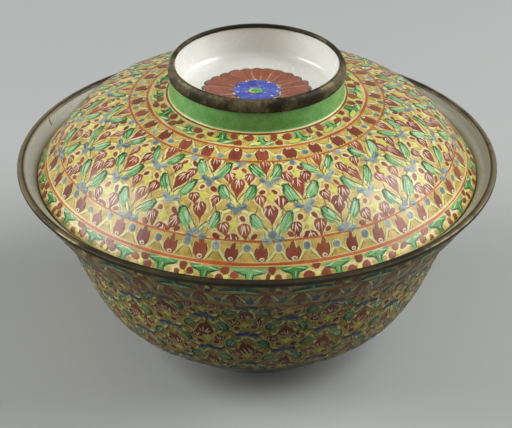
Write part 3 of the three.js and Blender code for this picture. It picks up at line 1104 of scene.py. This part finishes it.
def scroll_border(easel, count, low, high, shift=0.0, face=1, leaves=False):
    """Three-dot flowers with green scrolls between them. Face is -1 where they point back to low"""
    easel.between(low, high)
    middle = (low + high) / 2
    wide = FULL_TURN * easel.skin.radius(middle) / count / SCROLL_SIZE[0]
    tall = (high - low) / SCROLL_SIZE[1] * face
    gaps = easel.shaken(easel.around(count, middle, shift + 0.5, wide=wide, tall=tall), slide=0.25, turn=3)
    easel.lay(gaps, FUNNEL)
    easel.lay(gaps, *(() if easel.outline else (FUNNEL_FOOT,)), *FUNNEL_SIDES, sides=BOTH)
    easel.lay(gaps, FUNNEL_STEM, *(BOWL_SCROLL if easel.outline else ()), *(TOP_LEAVES if leaves else ()))
    flowers = easel.around(count, middle, shift, wide=min(wide, 1.1), tall=tall)
    flowers = easel.shaken(flowers, slide=0.25, turn=6)
    easel.scatter(flowers, FLOWER_GROUND, slide=0.5, turn=30, grow=0.3)
    easel.scatter(flowers, FLOWER_DOTS, slide=0.15, turn=10, grow=0.16)
    easel.lay(flowers, *FLOWER_EYE)


FORKED_STEM = (
    Dab("straw", "stem", 0.75, 5.8, 3.1, 2.2, 38, full=0.5, halo=0.35),
    Dab("dark", "stroke", 0.2, 4.0, 2.4, 1.9, 36, full=0.3),
)
BOWL_SPRIGS = [Dab("green", "stroke", 1.3, 2.6, x, y, turn, full=0.4, halo=0.2)
               for x, y, turn in ((-2.2, 6.6, 30), (2.2, 6.6, -30), (0, 1.6, 0))]
BOWL_STREAKS = [Dab("ochre", "stroke", 0.5, size, x, 4.6, level=4, full=0.4)
                for x, size in ((-1.1, 4.0), (0.3, 5.2), (1.3, 3.6))]
FLAME_EYE = (
    Dab("white", "disc", 2.2, 1.9, 0.1, 1.05, level=4, full=0.6),
    Dab("dark", "disc", 0.8, 0.65, 0.2, 1.0, level=6, full=0.4),
)


def flame_border(easel, count, low, high, shift=0.0, shape="flame", outward=1, disc_at=5.9):
    """Flames, and discs on forked stems between them. Outward is 1 where tongues point away from low"""
    easel.between(low, high)
    size = {"wide": FULL_TURN * easel.skin.radius((low + high) / 2) / count / FLAME_SIZE[0],
            "tall": (high - low) / FLAME_SIZE[1] * outward}
    base = low if outward > 0 else high
    discs = easel.shaken(easel.around(count, base, shift + 0.5, **size), slide=0.2, turn=3)
    easel.lay(discs, *FORKED_STEM, sides=BOTH)
    easel.lay(discs, Dab("blue", "disc", 3.0, 3.6, 0, disc_at, level=2, halo=0.6),
              Dab("dark", "thread", 1.5, 1.6, 0.2, disc_at, -60, level=4, full=0.3))
    if easel.outline:
        easel.scatter(discs, BOWL_SPRIGS, slide=0.6, turn=14, grow=0.2)
    flames = easel.shaken(easel.around(count, base, shift, **size), slide=0.2, turn=4)
    easel.lay(flames, Dab("dark", shape, 5.6, 9.5, 0, 4.6, full=0.5, halo=0.4),
              Dab("red", shape, 5.2, 9.1, 0, 4.6, level=2))
    if easel.outline:
        easel.scatter(flames, BOWL_STREAKS, slide=0.4, turn=16, grow=0.2)
    else:
        easel.lay(flames, *FLAME_EYE)


LEAF = Dab("green", "leaf", 4.6, 9.6, halo=0.9)
LIGHT_LEAF = Dab("pale", "leaf", 3.2, 6.8, level=1.6, full=0.9)
LIGHT_LEAVES = 0.16
LEAF_STREAKS = [Dab("pale", "stroke", *measures, level=3, full=0.4) for measures in (
    (1.3, 5.6, 1.1, -0.6, -4), (0.5, 6.4, 0.0, -0.2, 0), (0.6, 4.6, -0.9, -1.2, 8))]
LEAF_LINES = (
    Dab("dark", "stroke", 0.7, 2.4, -0.4, 3.2, -20, level=4, full=0.4),
    Dab("dark", "thread", 3.2, 6.0, 0.2, 1.2, -20, level=4, full=0.3),
    Dab("dark", "stroke", 0.36, 7.6, 2.2, 0.5, 4, level=4, full=0.4),
    Dab("dark", "stroke", 0.26, 4.4, -1.9, 0.9, -14, level=4, full=0.3),
    Dab("dark", "stroke", 0.24, 3.0, 0.8, -5.2, 6, level=2, full=0.3),
)
# What stands beside each column: share of a cell to the side, distance, turn and dabs
SPRIGS = (
    (0.1, -4.5, 38, [Dab("red", "lobe", 2.3, 3.2, halo=0.85)]),
    (0.068, 3.9, -35, [Dab("straw", "stroke", 0.75, 6.0, full=0.4, halo=0.3),
                       Dab("dark", "stroke", 0.26, 6.6, -0.75, 0.3, level=2, full=0.3)]),
    (0.145, -1.5, 62, [Dab("straw", "stroke", 1.3, 3.4, level=2, full=0.4, halo=0.3),
                       Dab("dark", "stroke", 0.24, 3.4, 1.0, 0, level=2, full=0.3)]),
    (0.4, -1.9, 20, [Dab("straw", "fleck", 1.0, 2.4, full=0.4, halo=0.3)]),
    (0.4, -10.6, 20, [Dab("green", "stroke", 0.7, 3.6, full=0.4, halo=0.4),
                      Dab("straw", "stroke", 0.8, 2.6, 1.5, 0.8, -24, full=0.4, halo=0.4)]),
    (0.2, -13.6, 16, [Dab("dark", "stroke", 0.28, 5.0, full=0.3)]),
)
BOWL_TANGLE = tuple(
    (share, reach, turn, [Dab(colour, "stroke", 0.9, 3.4, full=0.4, halo=0.3)])
    for share, reach, turn, colour in (
        (0.22, -9.2, 40, "red"), (0.36, -7.4, -40, "straw"), (0.1, -12.8, 62, "green"),
        (0.46, -3.8, 14, "red"), (0.33, 0.4, -60, "straw"), (0.2, -0.8, 54, "red"),
        (0.3, -10.2, 20, "straw")))
# Share of a cell to the side, distance, width, height and turn
BUDS = ((-0.15, -9.7, 5.3, 6.7, 12), (0.15, -9.7, 5.3, 6.7, -12), (0.0, -15.0, 5.7, 9.3, 0))
BUD_STREAKS = ((-1.5, -24, 2.3), (-0.55, -9, 3.9), (0.5, 8, 3.7), (1.45, 22, 2.3))
STAR = Dab("yellow", "star", 4.2, 5.5, level=2, halo=0.75)
FLECK = Dab("yellow", "fleck", 1.2, 2.4, level=3, full=0.5)


def bud(easel, spots, wide, tall, stem_at):
    """A bud on a dark stem, with four fine streaks from its tip"""
    easel.lay(spots, Dab("dark", "stroke", 0.3, 4.6, stem_at, -0.5 * tall - 0.9, full=0.3),
              Dab("red", "bud", wide, tall, halo=0.95))
    streaks = [Dab("white", "stroke", 0.52, size, x * wide / 5.8, tall / 2 - 0.9 - size / 2, lean,
                   level=3, full=0.6)
               for x, lean, size in BUD_STREAKS]
    easel.scatter(spots, streaks, slide=0.12, turn=6, grow=0.18)


def field(easel, count, rows, low, high, pitch=12.5, leaf=1.0, small_bud=1.0):
    """Columns of blue flowers, each over a star and three hanging buds, with leaves along the diagonals"""
    tall = pitch / FIELD_SIZE[1]
    cell = FULL_TURN / count
    lean = 44 if easel.outline else 33
    streaks = [dab._replace(wide=dab.wide * leaf ** 2) for dab in LEAF_STREAKS]
    for s, shift in rows:
        easel.between(low, high)

        def at(share, reach, turn=0.0):
            where = s + reach * tall
            wide = cell * easel.skin.radius(np.clip(where, low, high)) / FIELD_SIZE[0]
            return easel.shaken(easel.around(count, where, shift + share, turn=math.radians(turn),
                                             wide=wide ** 0.8, tall=tall))
        for side in BOTH:
            leaves = at(side * 0.29, -5.7, side * lean)
            leaves[:, 3:] *= leaf
            easel.lay(leaves, LEAF, sides=(side,))
            easel.lay(leaves[easel.random.random(len(leaves)) < LIGHT_LEAVES], LIGHT_LEAF, sides=(side,))
            easel.scatter(leaves, streaks, side, slide=0.15, turn=5, grow=0.2)
            easel.lay(leaves, *LEAF_LINES, sides=(side,))
            for share, reach, turn, dabs in SPRIGS + (BOWL_TANGLE if easel.outline else ()):
                easel.lay(at(side * share, reach, side * turn), *dabs, sides=(side,))
        for share, reach, wide, tall_bud, turn in BUDS:
            buds = at(share, reach, turn)
            buds[:, 3:] *= small_bud if share else 1
            bud(easel, buds, wide, tall_bud, 0.5 if share else 0)
        easel.lay(at(0, -7.3), STAR)
        blue_flowers(easel, at, s - low < 1)
        easel.between(low, high)
        easel.lay(at(0, 1.9), FLECK)


BLUE_PETAL = (
    Dab("blue", "lobe", 2.7, 4.4, level=3, halo=0.25),
    Dab("pale", "stroke", 0.36, 2.2, -0.5, -0.4, level=5, full=0.3),
    Dab("dark", "stroke", 0.26, 2.4, 0.5, 0.4, level=5, full=0.3),
)
BLUE_MIDDLE = Dab("blue", "lobe", 3.1, 3.3, level=3, halo=0.25)
RED_BERRY = Dab("red", "lobe", 2.0, 3.3, level=2, halo=0.4)


def blue_flowers(easel, at, on_line):
    """A row of three-petalled flowers. Those on the border's line lie flat across it"""
    lean, raised, middle = (-80, 0.5, -0.6) if easel.outline else (-66, 0.9, -1.1)
    if on_line:
        lean, raised, middle = -78, 0.5, 2.0
        easel.between(easel.low - 1.5, easel.high)
    for side in BOTH:
        easel.lay(at(side * 0.088, raised, side * lean), *BLUE_PETAL, sides=(side,))
        if on_line:
            easel.lay(at(side * 0.245, 1.7, side * 62), RED_BERRY)
    easel.lay(at(0, middle), BLUE_MIDDLE)


def rosette(easel):
    """A chrysanthemum on the floor of the ring"""
    easel.between(-30, 60)
    petals = easel.around(settings("painting").rosette_petals, 17.0)
    petals = easel.shaken(petals, slide=0.15, turn=1, grow=0.03)
    back = ease(np.sin(petals[:, 0]), 0.3, 1)
    petals[:, 4] *= 1 - 0.13 * back
    petals[:, 1] -= 0.9 * back
    easel.lay(petals, Dab("dark", "petal", 6.3, 14.0, 0, 0.1, level=0, full=0.5, wobble=0.03),
              Dab("white", "petal", 5.4, 13.4, 0, -0.3, full=0.4, wobble=0.02),
              Dab("red", "petal", 5.2, 13.3, 0, -0.1, level=2, full=0.6, wobble=0.03))
    middle = easel.spots([FRONT], 0.0)
    easel.lay(middle, Dab("blue", "disc", 17.0, 17.0, level=4, full=0.3))
    easel.lay(easel.shaken(easel.around(11, 7.4), slide=0.2, turn=3),
              Dab("dark", "lobe", 5.9, 6.8, level=4, full=0.5, wobble=0.04),
              Dab("blue", "lobe", 5.6, 6.6, level=5, full=0.5, wobble=0.04))
    easel.lay(easel.shaken(easel.around(11, 9.4, 0.5), slide=0.6, turn=40, grow=0.35),
              Dab("white", "fleck", 0.9, 1.2, level=7, full=0.4))
    easel.lay(easel.shaken(easel.around(7, 4.6, 0.3), slide=0.4, turn=30),
              Dab("white", "fleck", 0.5, 0.9, level=7, full=0.4))
    # Painted highlight: a yellow disc set off to the left under the green eye shows as a pale crescent on its
    # left
    easel.lay(easel.spots([math.pi], 0.9), Dab("yellow", "disc", 5.0, 5.6, level=8, full=0.4))
    easel.lay(middle, Dab("green", "disc", 5.4, 5.0, level=9, full=0.8))


# The pieces

def joined(sections):
    """One outline from its sections, and the finish of each of its stretches"""
    outline, finishes = [], []
    for finish, points in sections:
        for point in points:
            if outline and np.hypot(*(np.array(point) - outline[-1])) < 1e-4:
                continue
            finishes += [finish] if outline else []
            outline.append(np.array(point, float))
    return np.array(outline), finishes


def build_body(name, sections, materials, body, slot, cad_node):
    """A fired body: its outline spun round the axis, with a finish for each stretch"""
    outline, finishes = joined(sections)
    obj = spun(name, outline, settings("pot").sides)
    stretches = round_map(obj, outline, 2)
    order = list(materials)
    for finish in order:
        obj.data.materials.append(materials[finish])
    obj.data.polygons.foreach_set("material_index", [order.index(finishes[i]) for i in stretches])
    return finished(obj, body, slot, cad_node)


def build_bowl():
    # The bowl's inside glaze is darkened, partly as stain and partly as painted shade from the cover
    build_body("bowl_body", bowl_sections(),
               {"glaze": white_glaze(), "clay": bare_clay(), "ground": ground(worn=True),
                "inside": white_glaze("stained_glaze", 0.35)},
               "bowl", "bowl_porcelain", "bowl")


def build_cover():
    green = enamel("ring_green", "ring_green", "ring_thin", under="green", rubbed=0.6, bump=0.3, clouds=0.9)
    build_body("cover_body", cover_sections(),
               {"glaze": white_glaze(), "clay": bare_clay(), "ground": ground(), "ring": green},
               "cover", "cover_porcelain", "cover")


# The strip's broad top, as shares of its width: inwards from the lip, then up
RIM_SHELF = np.array([(-0.27, 0.01), (-0.52, 0.0), (-0.77, -0.02), (-0.93, -0.05), (-1.0, -0.09)])
# Ridges and a groove along a strip: height, then place and width as shares of the strip
RIDGES = ((1.6, 0.4, 0.08), (-1.2, 0.75, 0.06), (0.8, 0.93, 0.05))
DENTS_ROUND = (3, 7, 11, 17, 29, 41)  # how often each wave of the dents comes round
STRIP_SECTORS = 7                     # strips of its flat map


def rim_lip():
    """What the bowl's strip is folded over: the outside of the lip, then the bedding inside it"""
    outside, edge = bowl_outside()
    reach = along(outside)
    leg = outside[reach > reach[-1] - mm("bands", "rim_leg")]
    top = np.argmax(edge[:, 1])
    return np.concatenate([leg, edge[1:top + 1], edge[top] + RIM_SHELF * mm("bands", "rim_shelf")])


def ring_lip_path():
    """What the cover's strip is folded over"""
    side, edge = ring_lip()
    return np.concatenate([side, edge[1:], [edge[-1] - np.array([0, mm("bands", "inner_leg")])]])


def dented(obj, loop, at_point, outer_count):
    """Pushes the outside of a strip out a little here and there"""
    points = coordinates(obj.data)
    angle = np.arctan2(points[:, 1], points[:, 0])
    random = np.random.default_rng(len(obj.name))
    waves = sum(random.random() * np.sin(angle * k + random.random() * FULL_TURN + at_point * 0.15)
                for k in DENTS_ROUND) / 3
    push = np.where(at_point < outer_count, 0.5 + 0.5 * waves.clip(-1, 1), 0) * mm("bands", "dents") * MM
    shift = -(moved(loop, 1.0) - loop)[at_point] * push[:, None]
    points += np.stack([shift[:, 0] * np.cos(angle), shift[:, 0] * np.sin(angle), shift[:, 1]], 1)
    place(obj.data, points)


def build_strip(name, lip, lap_angle, body, cad_node, finish, groove=0.0):
    """A strip folded over a lip, its ends lapped, a little dented. Each point knows how far across it lies"""
    lip = spaced(lip, 0.12 if groove else 0.5)
    share = along(lip) / along(lip)[-1]
    swell = mm("bands", "swell") * np.sin(math.pi * share)
    for size, where, width in RIDGES:
        swell = swell + size * groove * np.exp(-((share - where) / width) ** 2)
    outer = moved(lip, -(strip_thickness() + swell))
    inner = moved(lip, -mm("bands", "bedding") * np.where(share > 0.6, 0.3, 1))
    loop = np.concatenate([outer, inner[::-1]])
    obj = spun(name, loop, settings("pot").sides, closed=True)
    at_point = nearest(flattened(coordinates(obj.data)), loop)
    dented(obj, loop, at_point, len(outer))
    share_out(obj.data, "fold", np.concatenate([share, share[::-1]])[at_point])
    round_map(obj, loop, STRIP_SECTORS, closed=True)
    build_lap(outer, share, lap_angle)
    obj.select_set(True)
    bpy.context.view_layer.objects.active = obj
    bpy.ops.object.join()
    obj.data.materials.append(finish)
    return finished(obj, body, "band_metal", cad_node)


def build_lap(outer, share, lap_angle):
    """The upper end of a strip where it lies over the other"""
    face = outer[1:-2]
    over = np.concatenate([moved(face, -mm("bands", "metal")), moved(face, 0.05)[::-1]])
    bpy.ops.object.select_all(action="DESELECT")
    bpy.ops.mesh.primitive_circle_add(vertices=len(over), radius=MM, fill_type="NGON")
    obj = bpy.context.object
    start = math.radians(lap_angle)
    across = over[:, 0] * MM
    place(obj.data, np.stack([across * math.cos(start), across * math.sin(start), over[:, 1] * MM], 1))
    pick(obj, vertices=range(len(over)))
    bpy.ops.mesh.select_all(action="SELECT")
    bpy.ops.mesh.spin(steps=8, angle=mm("bands", "lap") / over[:, 0].max(), center=(0, 0, 0), axis=(0, 0, 1))
    bpy.ops.mesh.select_all(action="SELECT")
    bpy.ops.mesh.normals_make_consistent(inside=False)
    leave()
    share_out(obj.data, "fold", share[nearest(flattened(coordinates(obj.data)), outer)])
    obj.data.uv_layers.new(name="OFBake")


# The piece that each enamel colour makes on a body, and the finish of each colour
ENAMEL_PIECES = {
    "cream": "cream_grounds", "ochre": "ochre_dabs", "red": "red_marks", "green": "green_leaves",
    "pale": "pale_veins", "yellow": "yellow_marks", "straw": "straw_stems", "blue": "blue_flowers",
    "white": "white_strokes", "dark": "dark_outlines", "orange": "red_lines",
}
ENAMELS = {
    "cream": {"name": "bare_cream", "full": "cream", "thin": "cream_light", "under": "ground", "gloss": 0.3},
    "ochre": {"name": "ochre_dabs", "full": "ground", "thin": "ground_light", "gloss": 0.34},
    "red": {"name": "brick_red", "full": "red", "thin": "red_light"},
    "green": {"name": "leaf_green", "full": "green", "thin": "green_light", "under": "yellow_light"},
    "pale": {"name": "pale_green", "full": "green_light", "thin": "green_pale", "gloss": 0.3},
    "yellow": {"name": "star_yellow", "full": "yellow", "thin": "yellow_light"},
    "straw": {"name": "straw_stems", "full": "straw", "thin": "yellow_light", "gloss": 0.3},
    "blue": {"name": "flower_blue", "full": "blue", "thin": "blue_light", "gloss": 0.32},
    "white": {"name": "fine_white", "full": "white", "thin": "white", "gloss": 0.34},
    "dark": {"name": "dark_outline", "full": "dark", "thin": "dark", "under": "dark", "gloss": 0.4},
    "orange": {"name": "line_red", "full": "orange", "thin": "orange_light", "gloss": 0.32},
}
# The bowl's own full and thin colours, darker than the cover's as painted shade
BOWL_COLOURS = {
    "cream": ("bowl_cream", "cream"), "ochre": ("bowl_ground_light", "cream"),
    "red": ("bowl_red", "bowl_red_light"), "green": ("bowl_green", "bowl_green_light"),
    "blue": ("bowl_blue", "bowl_blue_light"),
}


def hang_up(easel, body):
    """Makes the pieces of an easel, one for each colour"""
    on_bowl = body == "bowl"
    for colour, words in ENAMEL_PIECES.items():
        finish = dict(ENAMELS[colour])
        if on_bowl:
            finish["name"] = "bowl_" + finish["name"]
            finish.update(zip(("full", "thin"), BOWL_COLOURS.get(colour, ())))
        easel.piece(f"{body}_{words}", colour, enamel(**finish, worn=on_bowl), body, body + "_porcelain")


# Rows of the field: distance, and shift as a share of a cell
COVER_ROWS = [(17, 0.2), (30.2, 0.7), (42.6, 0.2), (54.0, 0.7), (66.5, 0.2)]
BOWL_ROWS = [(24, 0.87), (34.5, 0.37), (45.5, 0.87), (57.5, 0.37),
             (69.5, 0.87), (81.5, 0.37), (93.5, 0.87), (105, 0.37)]


def paint_cover():
    """The whole pattern of the cover's outside"""
    painting = settings("painting")
    easel = Easel(Skin(np.concatenate([open_dome(), ring_foot()]), 1), 0)
    top = easel.skin.reach[-1]
    scroll_border(easel, painting.edge_flowers, -0.1, 6.1, shift=0.34)
    flame_border(easel, painting.cover_flames, 8.0, 16.3, shift=0.16)
    field(easel, painting.cover_cells, COVER_ROWS, 17.0, 54.2)
    flame_border(easel, painting.top_petals, 55.0, 62.0, shift=0.2, shape="shield", outward=-1)
    scroll_border(easel, painting.top_flowers, 63.9, top - 2.6, shift=0.6, face=-1, leaves=True)
    easel.line("cream", -0.1, 3.2, wander=0.05, level=-0.6)
    easel.line("cream", 2.9, 6.0, wander=0.05, level=-0.6)
    easel.line("ochre", 4.9, 6.2, wander=0.5, level=-0.3)
    easel.line("cream", 6.1, 8.0, wander=0.05, level=0)
    easel.line("orange", 6.4, 7.1, fresh=0.7)
    easel.line("cream", 16.0, 17.5, wander=0.05, level=0)
    easel.line("orange", 16.2, 17.1)
    easel.line("cream", 63.0, 64.2, wander=0.4, level=0)
    easel.line("cream", top - 3.6, top - 2.3, wander=0.5, level=0)
    easel.line("orange", 54.1, 54.9)
    easel.line("orange", 62.0, 63.1)
    easel.line("cream", top - 1.5, top - 0.9, wander=0.03, level=0)
    easel.line("red", top - 2.4, top - 1.6, wander=0.06, level=2)
    easel.between(0, top)
    crack = easel.spots(np.radians([-79.3, -75.8, -72.2]), [33.1, 33.3, 33.8],
                        turn=np.radians([-88, -84, -80]))
    easel.lay(crack, Dab("dark", "stroke", 0.3, 5.4, level=7, full=0.3, wobble=0.3))
    scratches = easel.spots(np.radians([-148.6, -147.9, -147.0, -146.4]), [46, 48, 49.5, 51],
                            turn=np.radians([-20, -30, -24, -28]))
    easel.lay(scratches, Dab("white", "stroke", 0.8, 5.0, level=7, full=0.3, wobble=0.4))
    hang_up(easel, "cover")


def paint_bowl():
    """The whole pattern of the bowl's outside, which mirrors the cover's about the lip"""
    painting = settings("painting")
    easel = Easel(Skin(bowl_outside()[0][::-1], -1), 1)
    easel.outline = 0.32
    scroll_border(easel, painting.bowl_flowers, 1.8, 9.2, shift=0.3)
    flame_border(easel, painting.bowl_flames, 10.3, 22.4, shift=0.3, disc_at=4.0)
    field(easel, painting.bowl_cells, BOWL_ROWS, 23.4, 97.0, pitch=11.8, leaf=0.8, small_bud=0.86)
    easel.line("orange", 9.4, 10.1)
    easel.line("orange", 22.6, 23.3)
    easel.line("orange", 97.2, 98.4)
    easel.line("green", 99.4, 101.2)
    hang_up(easel, "bowl")


def paint_rosette():
    """The rosette on the floor of the ring handle"""
    easel = Easel(Skin(well()[1][::-1], -1), 2, flat=True)
    rosette(easel)
    pieces = {
        "dark": ("rosette_outline", ENAMELS["dark"]),
        "white": ("rosette_white", ENAMELS["white"]),
        "red": ("rosette_petals", {"name": "rosette_red", "full": "rosette_red", "thin": "rosette_light"}),
        "blue": ("rosette_middle", {"name": "rosette_blue", "full": "rosette_blue", "thin": "rosette_pale"}),
        "yellow": ("rosette_crescent", ENAMELS["yellow"]),
        "green": ("rosette_eye", ENAMELS["green"]),
    }
    for colour, (name, finish) in pieces.items():
        easel.piece(name, colour, enamel(**finish), "cover", "cover_porcelain")


def paint_inside():
    """A stained crack in the white glaze above the cover's seat"""
    easel = Easel(Skin(bowl_inside()[::-1], 1), 3)
    easel.between(0.2, 9)
    crack = easel.spots(np.radians([156.9, 157.8, 158.7]), [0.9, 2.4, 3.9], turn=np.radians([-38, -52, -44]))
    easel.lay(crack, Dab("crack", "stroke", 0.55, 2.8, level=0, full=0.2, wobble=0.3))
    darkening = enamel("crack_stain", "bowl_ground", "bowl_red_light", rubbed=0.0, gloss=0.5, worn=True)
    easel.piece("bowl_crack", "crack", darkening, "bowl", "bowl_porcelain")


# The stage

TABLE_SHADE = 0.21  # share of the table's colour that it throws back on the pot
LAMP_TARGET = (0, 0, 0.09)
CAMERA_PLACE = (0, -0.9255, 0.5979)
CAMERA_TILT = 59.7
CAMERA_LENS = 168.75
CAMERA_SHIFT = -0.0019


def seen_rays(tree):
    """1 for what the camera sees, straight or by way of metal, gloss or glass, and 0 for light"""
    path = node(tree, "ShaderNodeLightPath").outputs
    camera, glossy, through = (Value(path[f"Is {kind} Ray"]) for kind in ("Camera", "Glossy", "Transmission"))
    return camera.maths("MAXIMUM", glossy.maths("MAXIMUM", through))


def build_stage():
    """The table, the lamps, the even light and the camera"""
    studio = settings("studio")
    bpy.ops.object.select_all(action="DESELECT")
    bpy.ops.mesh.primitive_circle_add(vertices=96, radius=6, fill_type="NGON")
    table = bpy.context.object
    table.name = "table"
    material = bpy.data.materials.new("table")
    material.use_nodes = True
    shader = material.node_tree.nodes["Principled BSDF"].inputs
    rays = seen_rays(material.node_tree)
    feed(shader["Base Color"], blend(rays, [c * TABLE_SHADE for c in studio.table], studio.table))
    feed(shader["Emission Color"], (1, 1, 1))
    feed(shader["Emission Strength"], rays * studio.paleness)
    feed(shader["Roughness"], 0.7)
    table.data.materials.append(material)

    world = bpy.data.worlds.new("air")
    bpy.context.scene.world = world
    world.use_nodes = True
    air = world.node_tree.nodes["Background"].inputs
    rays = seen_rays(world.node_tree)
    feed(air["Color"], blend(rays, (1, 1, 1), studio.table))
    feed(air["Strength"], source(world.node_tree, "ShaderNodeMapRange", 0, Value=rays, _3=studio.sky, _4=1.0))

    for name, place_at, size, power in (
            ("left_lamp", (-1.2, -0.02, 0.74), 1.0, studio.left_lamp),
            ("right_lamp", (1.1, 0.06, 0.92), 1.2, studio.right_lamp),
            ("top_lamp", (0.05, -0.62, 1.25), 1.0, studio.top_lamp)):
        bpy.ops.object.light_add(type="AREA", location=place_at)
        lamp = bpy.context.object
        lamp.name = name
        lamp.data.shape = "DISK"
        lamp.data.size = size
        lamp.data.energy = power
        lamp.rotation_euler = (Vector(place_at) - Vector(LAMP_TARGET)).to_track_quat("Z", "Y").to_euler()

    bpy.ops.object.camera_add(location=CAMERA_PLACE, rotation=(math.radians(CAMERA_TILT), 0, 0))
    camera = bpy.context.object
    camera.name = "camera"
    camera.data.lens = CAMERA_LENS
    camera.data.sensor_width = 36
    camera.data.shift_x = CAMERA_SHIFT
    camera.data.clip_start = 0.05
    bpy.context.scene.camera = camera
    bpy.context.scene.view_settings.view_transform = "Standard"


class COVEREDBOWL_OT_stage(Operator):
    """Sets the table, the lamps and the camera"""
    bl_idname = "coveredbowl.stage"
    bl_label = "Studio"

    def execute(self, context):
        build_stage()
        return {"FINISHED"}


class COVEREDBOWL_OT_bowl(Operator):
    """Turns the bowl and glazes it"""
    bl_idname = "coveredbowl.bowl"
    bl_label = "Bowl"

    def execute(self, context):
        build_bowl()
        return {"FINISHED"}


class COVEREDBOWL_OT_cover(Operator):
    """Turns the cover with its ring handle and glazes it"""
    bl_idname = "coveredbowl.cover"
    bl_label = "Cover"

    def execute(self, context):
        build_cover()
        return {"FINISHED"}


class COVEREDBOWL_OT_strips(Operator):
    """Folds the two metal strips over the lips"""
    bl_idname = "coveredbowl.strips"
    bl_label = "Metal strips"

    def execute(self, context):
        metals = settings("metals")
        rim = tarnished_brass("rim_brass", metals.rim_rubbed, top_wear_and_light=0.4, fold_light_and_shade=0.95, shade_height=0.42)
        build_strip("rim_strip", rim_lip(), 100, "bowl", "bowl_rim_band", rim, groove=0.14)
        ring = tarnished_brass("ring_brass", metals.ring_rubbed, top_wear_and_light=0.06, fold_light_and_shade=0, shade_height=0.18)
        build_strip("ring_strip", ring_lip_path(), 286, "cover", "cover_ring_band", ring)
        return {"FINISHED"}


class COVEREDBOWL_OT_marks(Operator):
    """Models each kind of brush mark once"""
    bl_idname = "coveredbowl.marks"
    bl_label = "Brush marks"

    def execute(self, context):
        make_marks()
        return {"FINISHED"}


class COVEREDBOWL_OT_cover_painting(Operator):
    """Paints the outside of the cover"""
    bl_idname = "coveredbowl.cover_painting"
    bl_label = "Cover painting"

    def execute(self, context):
        paint_cover()
        return {"FINISHED"}


class COVEREDBOWL_OT_bowl_painting(Operator):
    """Paints the outside of the bowl"""
    bl_idname = "coveredbowl.bowl_painting"
    bl_label = "Bowl painting"

    def execute(self, context):
        paint_bowl()
        paint_inside()
        return {"FINISHED"}


class COVEREDBOWL_OT_rosette(Operator):
    """Paints the rosette on the floor of the ring handle"""
    bl_idname = "coveredbowl.rosette"
    bl_label = "Rosette"

    def execute(self, context):
        paint_rosette()
        return {"FINISHED"}


OPERATORS = [COVEREDBOWL_OT_stage, COVEREDBOWL_OT_marks, COVEREDBOWL_OT_bowl, COVEREDBOWL_OT_cover,
             COVEREDBOWL_OT_strips, COVEREDBOWL_OT_cover_painting, COVEREDBOWL_OT_bowl_painting,
             COVEREDBOWL_OT_rosette]


class COVEREDBOWL_PT_sidebar(Panel):
    """Every size and colour of the covered bowl, and the steps that build it"""
    bl_label = "Covered bowl"
    bl_space_type = "VIEW_3D"
    bl_region_type = "UI"
    bl_category = "Covered bowl"

    def draw(self, context):
        for name, kind in GROUPS.items():
            box = self.layout.box()
            box.label(text=kind.__doc__)
            for key in kind.__annotations__:
                box.prop(settings(name), key)
        for operator in OPERATORS:
            self.layout.operator(operator.bl_idname)


CLASSES = [*GROUPS.values(), *OPERATORS, COVEREDBOWL_PT_sidebar]


def register():
    for kind in CLASSES:
        bpy.utils.register_class(kind)
    for name, kind in GROUPS.items():
        setattr(bpy.types.Scene, "covered_bowl_" + name, PointerProperty(type=kind))


def unregister():
    for name in GROUPS:
        delattr(bpy.types.Scene, "covered_bowl_" + name)
    for kind in reversed(CLASSES):
        bpy.utils.unregister_class(kind)


def main():
    register()
    for operator in OPERATORS:
        family, step = operator.bl_idname.split(".")
        getattr(getattr(bpy.ops, family), step)()


if __name__ == "__main__":
    main()
